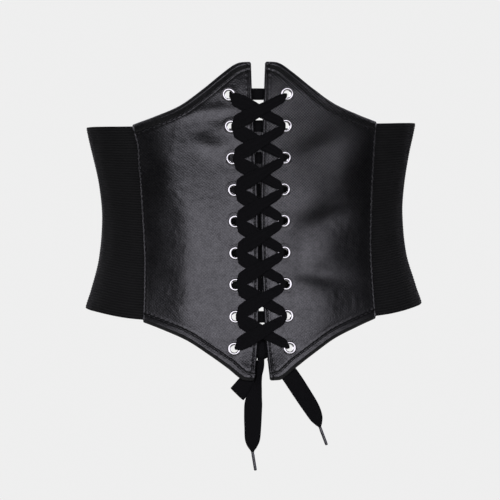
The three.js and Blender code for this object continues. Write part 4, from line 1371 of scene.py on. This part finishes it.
def knot_piece():
    """The knot's radius across and through, by the place along it, with folds that run round the
    middle and lengthwise at the ends."""
    t, turn = np.linspace(-1, 1, 60), full_turn(56)
    middle = np.exp(-((t / 0.34) ** 4))[:, None]
    body = np.sqrt(np.maximum(1 - np.abs(t) ** 2.6, 0.02))[:, None]
    rounds = 0.05 * np.cos(t[:, None] * 24 + 0.8 * np.sin(turn)) * middle
    lengthwise = 0.05 * np.cos(9 * turn + 1.5 * np.sin(2 * t[:, None])) * (1 - middle)
    size = body * (0.86 + 0.1 * middle + rounds + lengthwise)
    point, normal, along, up = on_front(0, eyelet_height(EYELET_ROWS), KNOT_LEVEL)
    cosine, sine = np.cos(turn)[:, None], np.sin(turn)[:, None]
    across = up * cosine * KNOT_HEIGHT / 2 + normal * sine * KNOT_DEPTH / 2
    run = (t * KNOT_WIDTH / 2)[:, None]
    points = (point + along * run[..., None] + across * size[..., None]).reshape(-1, 3)
    quads = tube_quads(len(t), len(turn))
    piece = make_piece("bow_knot_lace", points, quads, [lace_braid], on_cloth(turn * 5, run))
    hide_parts("bow_knot")


lace_piece("bow_loop_lace", "bow_loop", loop_stations(), 3.1, 53)
knot_piece()

# %% [markdown]
# ## Floor and light
# A plain pale floor lies below, out of the photograph's view. Three soft lights stand side by side in
# front, together as wide as the photograph's reflections are and brightest on the left, so the coated
# leather shows broad soft highlights that end towards the sides. Two more light the back, and one the
# top, from where the front's leather doesn't reflect them. The floor and the sky are pale where the
# camera sees them and dim where the leather does. Floor, lights and sky belong to the studio alone.

# %% Floor and lights
scene = bpy.context.scene
scene.view_settings.view_transform = "Standard"
FLOOR_LEVEL = -0.5
FLOOR_REACH = 0.6
LIGHT_DISTANCE = 2.7
LIGHTS = {
    "softbox_left": (-42, 17, -9.5, 30, 3.4),
    "softbox_middle": (17, 34, -9.5, 30, 2.3),
    "softbox_right": (34, 47, -9.5, 30, 1.7),
    "softbox_back_left": (-172, -128, -10, 40, 2.6),
    "softbox_back_right": (128, 172, -10, 40, 2.6),
    "softbox_above": (150, 210, 50, 85, 2.6),
}


def floor_piece():
    """A square plain floor, as a grid of points."""
    line = np.linspace(-FLOOR_REACH, FLOOR_REACH, 25)
    x, y = (part.ravel() for part in np.meshgrid(line, line))
    points = np.stack([x, y, FLOOR_LEVEL + 0 * x], axis=1)
    mesh = bpy.data.meshes.new("floor")
    mesh.from_pydata(points.tolist(), [], grid_quads(len(line), len(line)).tolist())
    made, tree, shader = new_finish("pale_floor", Roughness=0.8, Emission_Color=(1, 1, 1, 1))
    spot = add_node(tree, "TexCoord").outputs["Object"]
    paint(tree, shader, noise(tree, spot, 0.4), (0.27, 0.28, 0.25), (0.3, 0.31, 0.28))
    glow = combine(tree, "MULTIPLY", add_node(tree, "LightPath").outputs["Is Camera Ray"], 0.53)
    tree.links.new(glow, shader.inputs["Emission Strength"])
    mesh.materials.append(made)
    floor = bpy.data.objects.new("floor", mesh)
    scene.collection.objects.link(floor)


def soft_light(name, left, right, low, high, brightness):
    """A flat soft light that faces the belt between two azimuths and two elevations, in degrees. Its
    power is pi times its area times its brightness."""
    a, e = math.radians((left + right) / 2), math.radians((low + high) / 2)
    light = bpy.data.lights.new(name, "AREA")
    light.shape = "RECTANGLE"
    light.color = (1, 0.975, 1.1)
    light.size = 2 * LIGHT_DISTANCE * math.tan(math.radians(right - left) / 2)
    light.size_y = 2 * LIGHT_DISTANCE * math.tan(math.radians(high - low) / 2)
    light.energy = math.pi * light.size * light.size_y * brightness
    back = np.array([math.sin(a) * math.cos(e), -math.cos(a) * math.cos(e), math.sin(e)])
    right_way = np.array([math.cos(a), math.sin(a), 0])
    matrix = np.eye(4)
    matrix[:3, 0], matrix[:3, 1], matrix[:3, 2] = right_way, np.cross(back, right_way), back
    matrix[:3, 3] = back * LIGHT_DISTANCE
    lamp = bpy.data.objects.new(name, light)
    lamp.matrix_world = matrix.T.tolist()
    scene.collection.objects.link(lamp)


floor_piece()
for name, (left, right, low, high, brightness) in LIGHTS.items():
    soft_light(name, left, right, low, high, brightness)
print("floor and lights made")

# %% Sky
world = bpy.data.worlds.new("studio")
scene.world = world
world.use_nodes = True
sky = world.node_tree
sky.nodes.clear()

# The lit sky is dim behind the belt, less so on its left, and almost dark everywhere else
towards = add_node(sky, "SeparateXYZ", {"Vector": add_node(sky, "TexCoord").outputs["Generated"]})
behind_left = spread(sky, towards.outputs["X"], 0.3, 0.1, -0.2, 0.15)
behind_belt = combine(sky, "MULTIPLY", behind_left, spread(sky, towards.outputs["Y"], 0, 1, 0.1, 0.45))
to_the_left = spread(sky, towards.outputs["X"], 0.05, 0.025, -0.9, -0.3)
seen = add_node(sky, "Background", {"Color": (1, 1, 1, 1), "Strength": 0.86})
lit = add_node(sky, "Background", {"Color": (1, 1, 1, 1)})
sky.links.new(combine(sky, "ADD", behind_belt, to_the_left), lit.inputs["Strength"])
ray = add_node(sky, "LightPath")
mixed = add_node(sky, "MixShader", {"Fac": ray.outputs["Is Camera Ray"]})
sky.links.new(lit.outputs[0], mixed.inputs[1])
sky.links.new(seen.outputs[0], mixed.inputs[2])
add_node(sky, "OutputWorld", {"Surface": mixed.outputs[0]})
print("sky made")
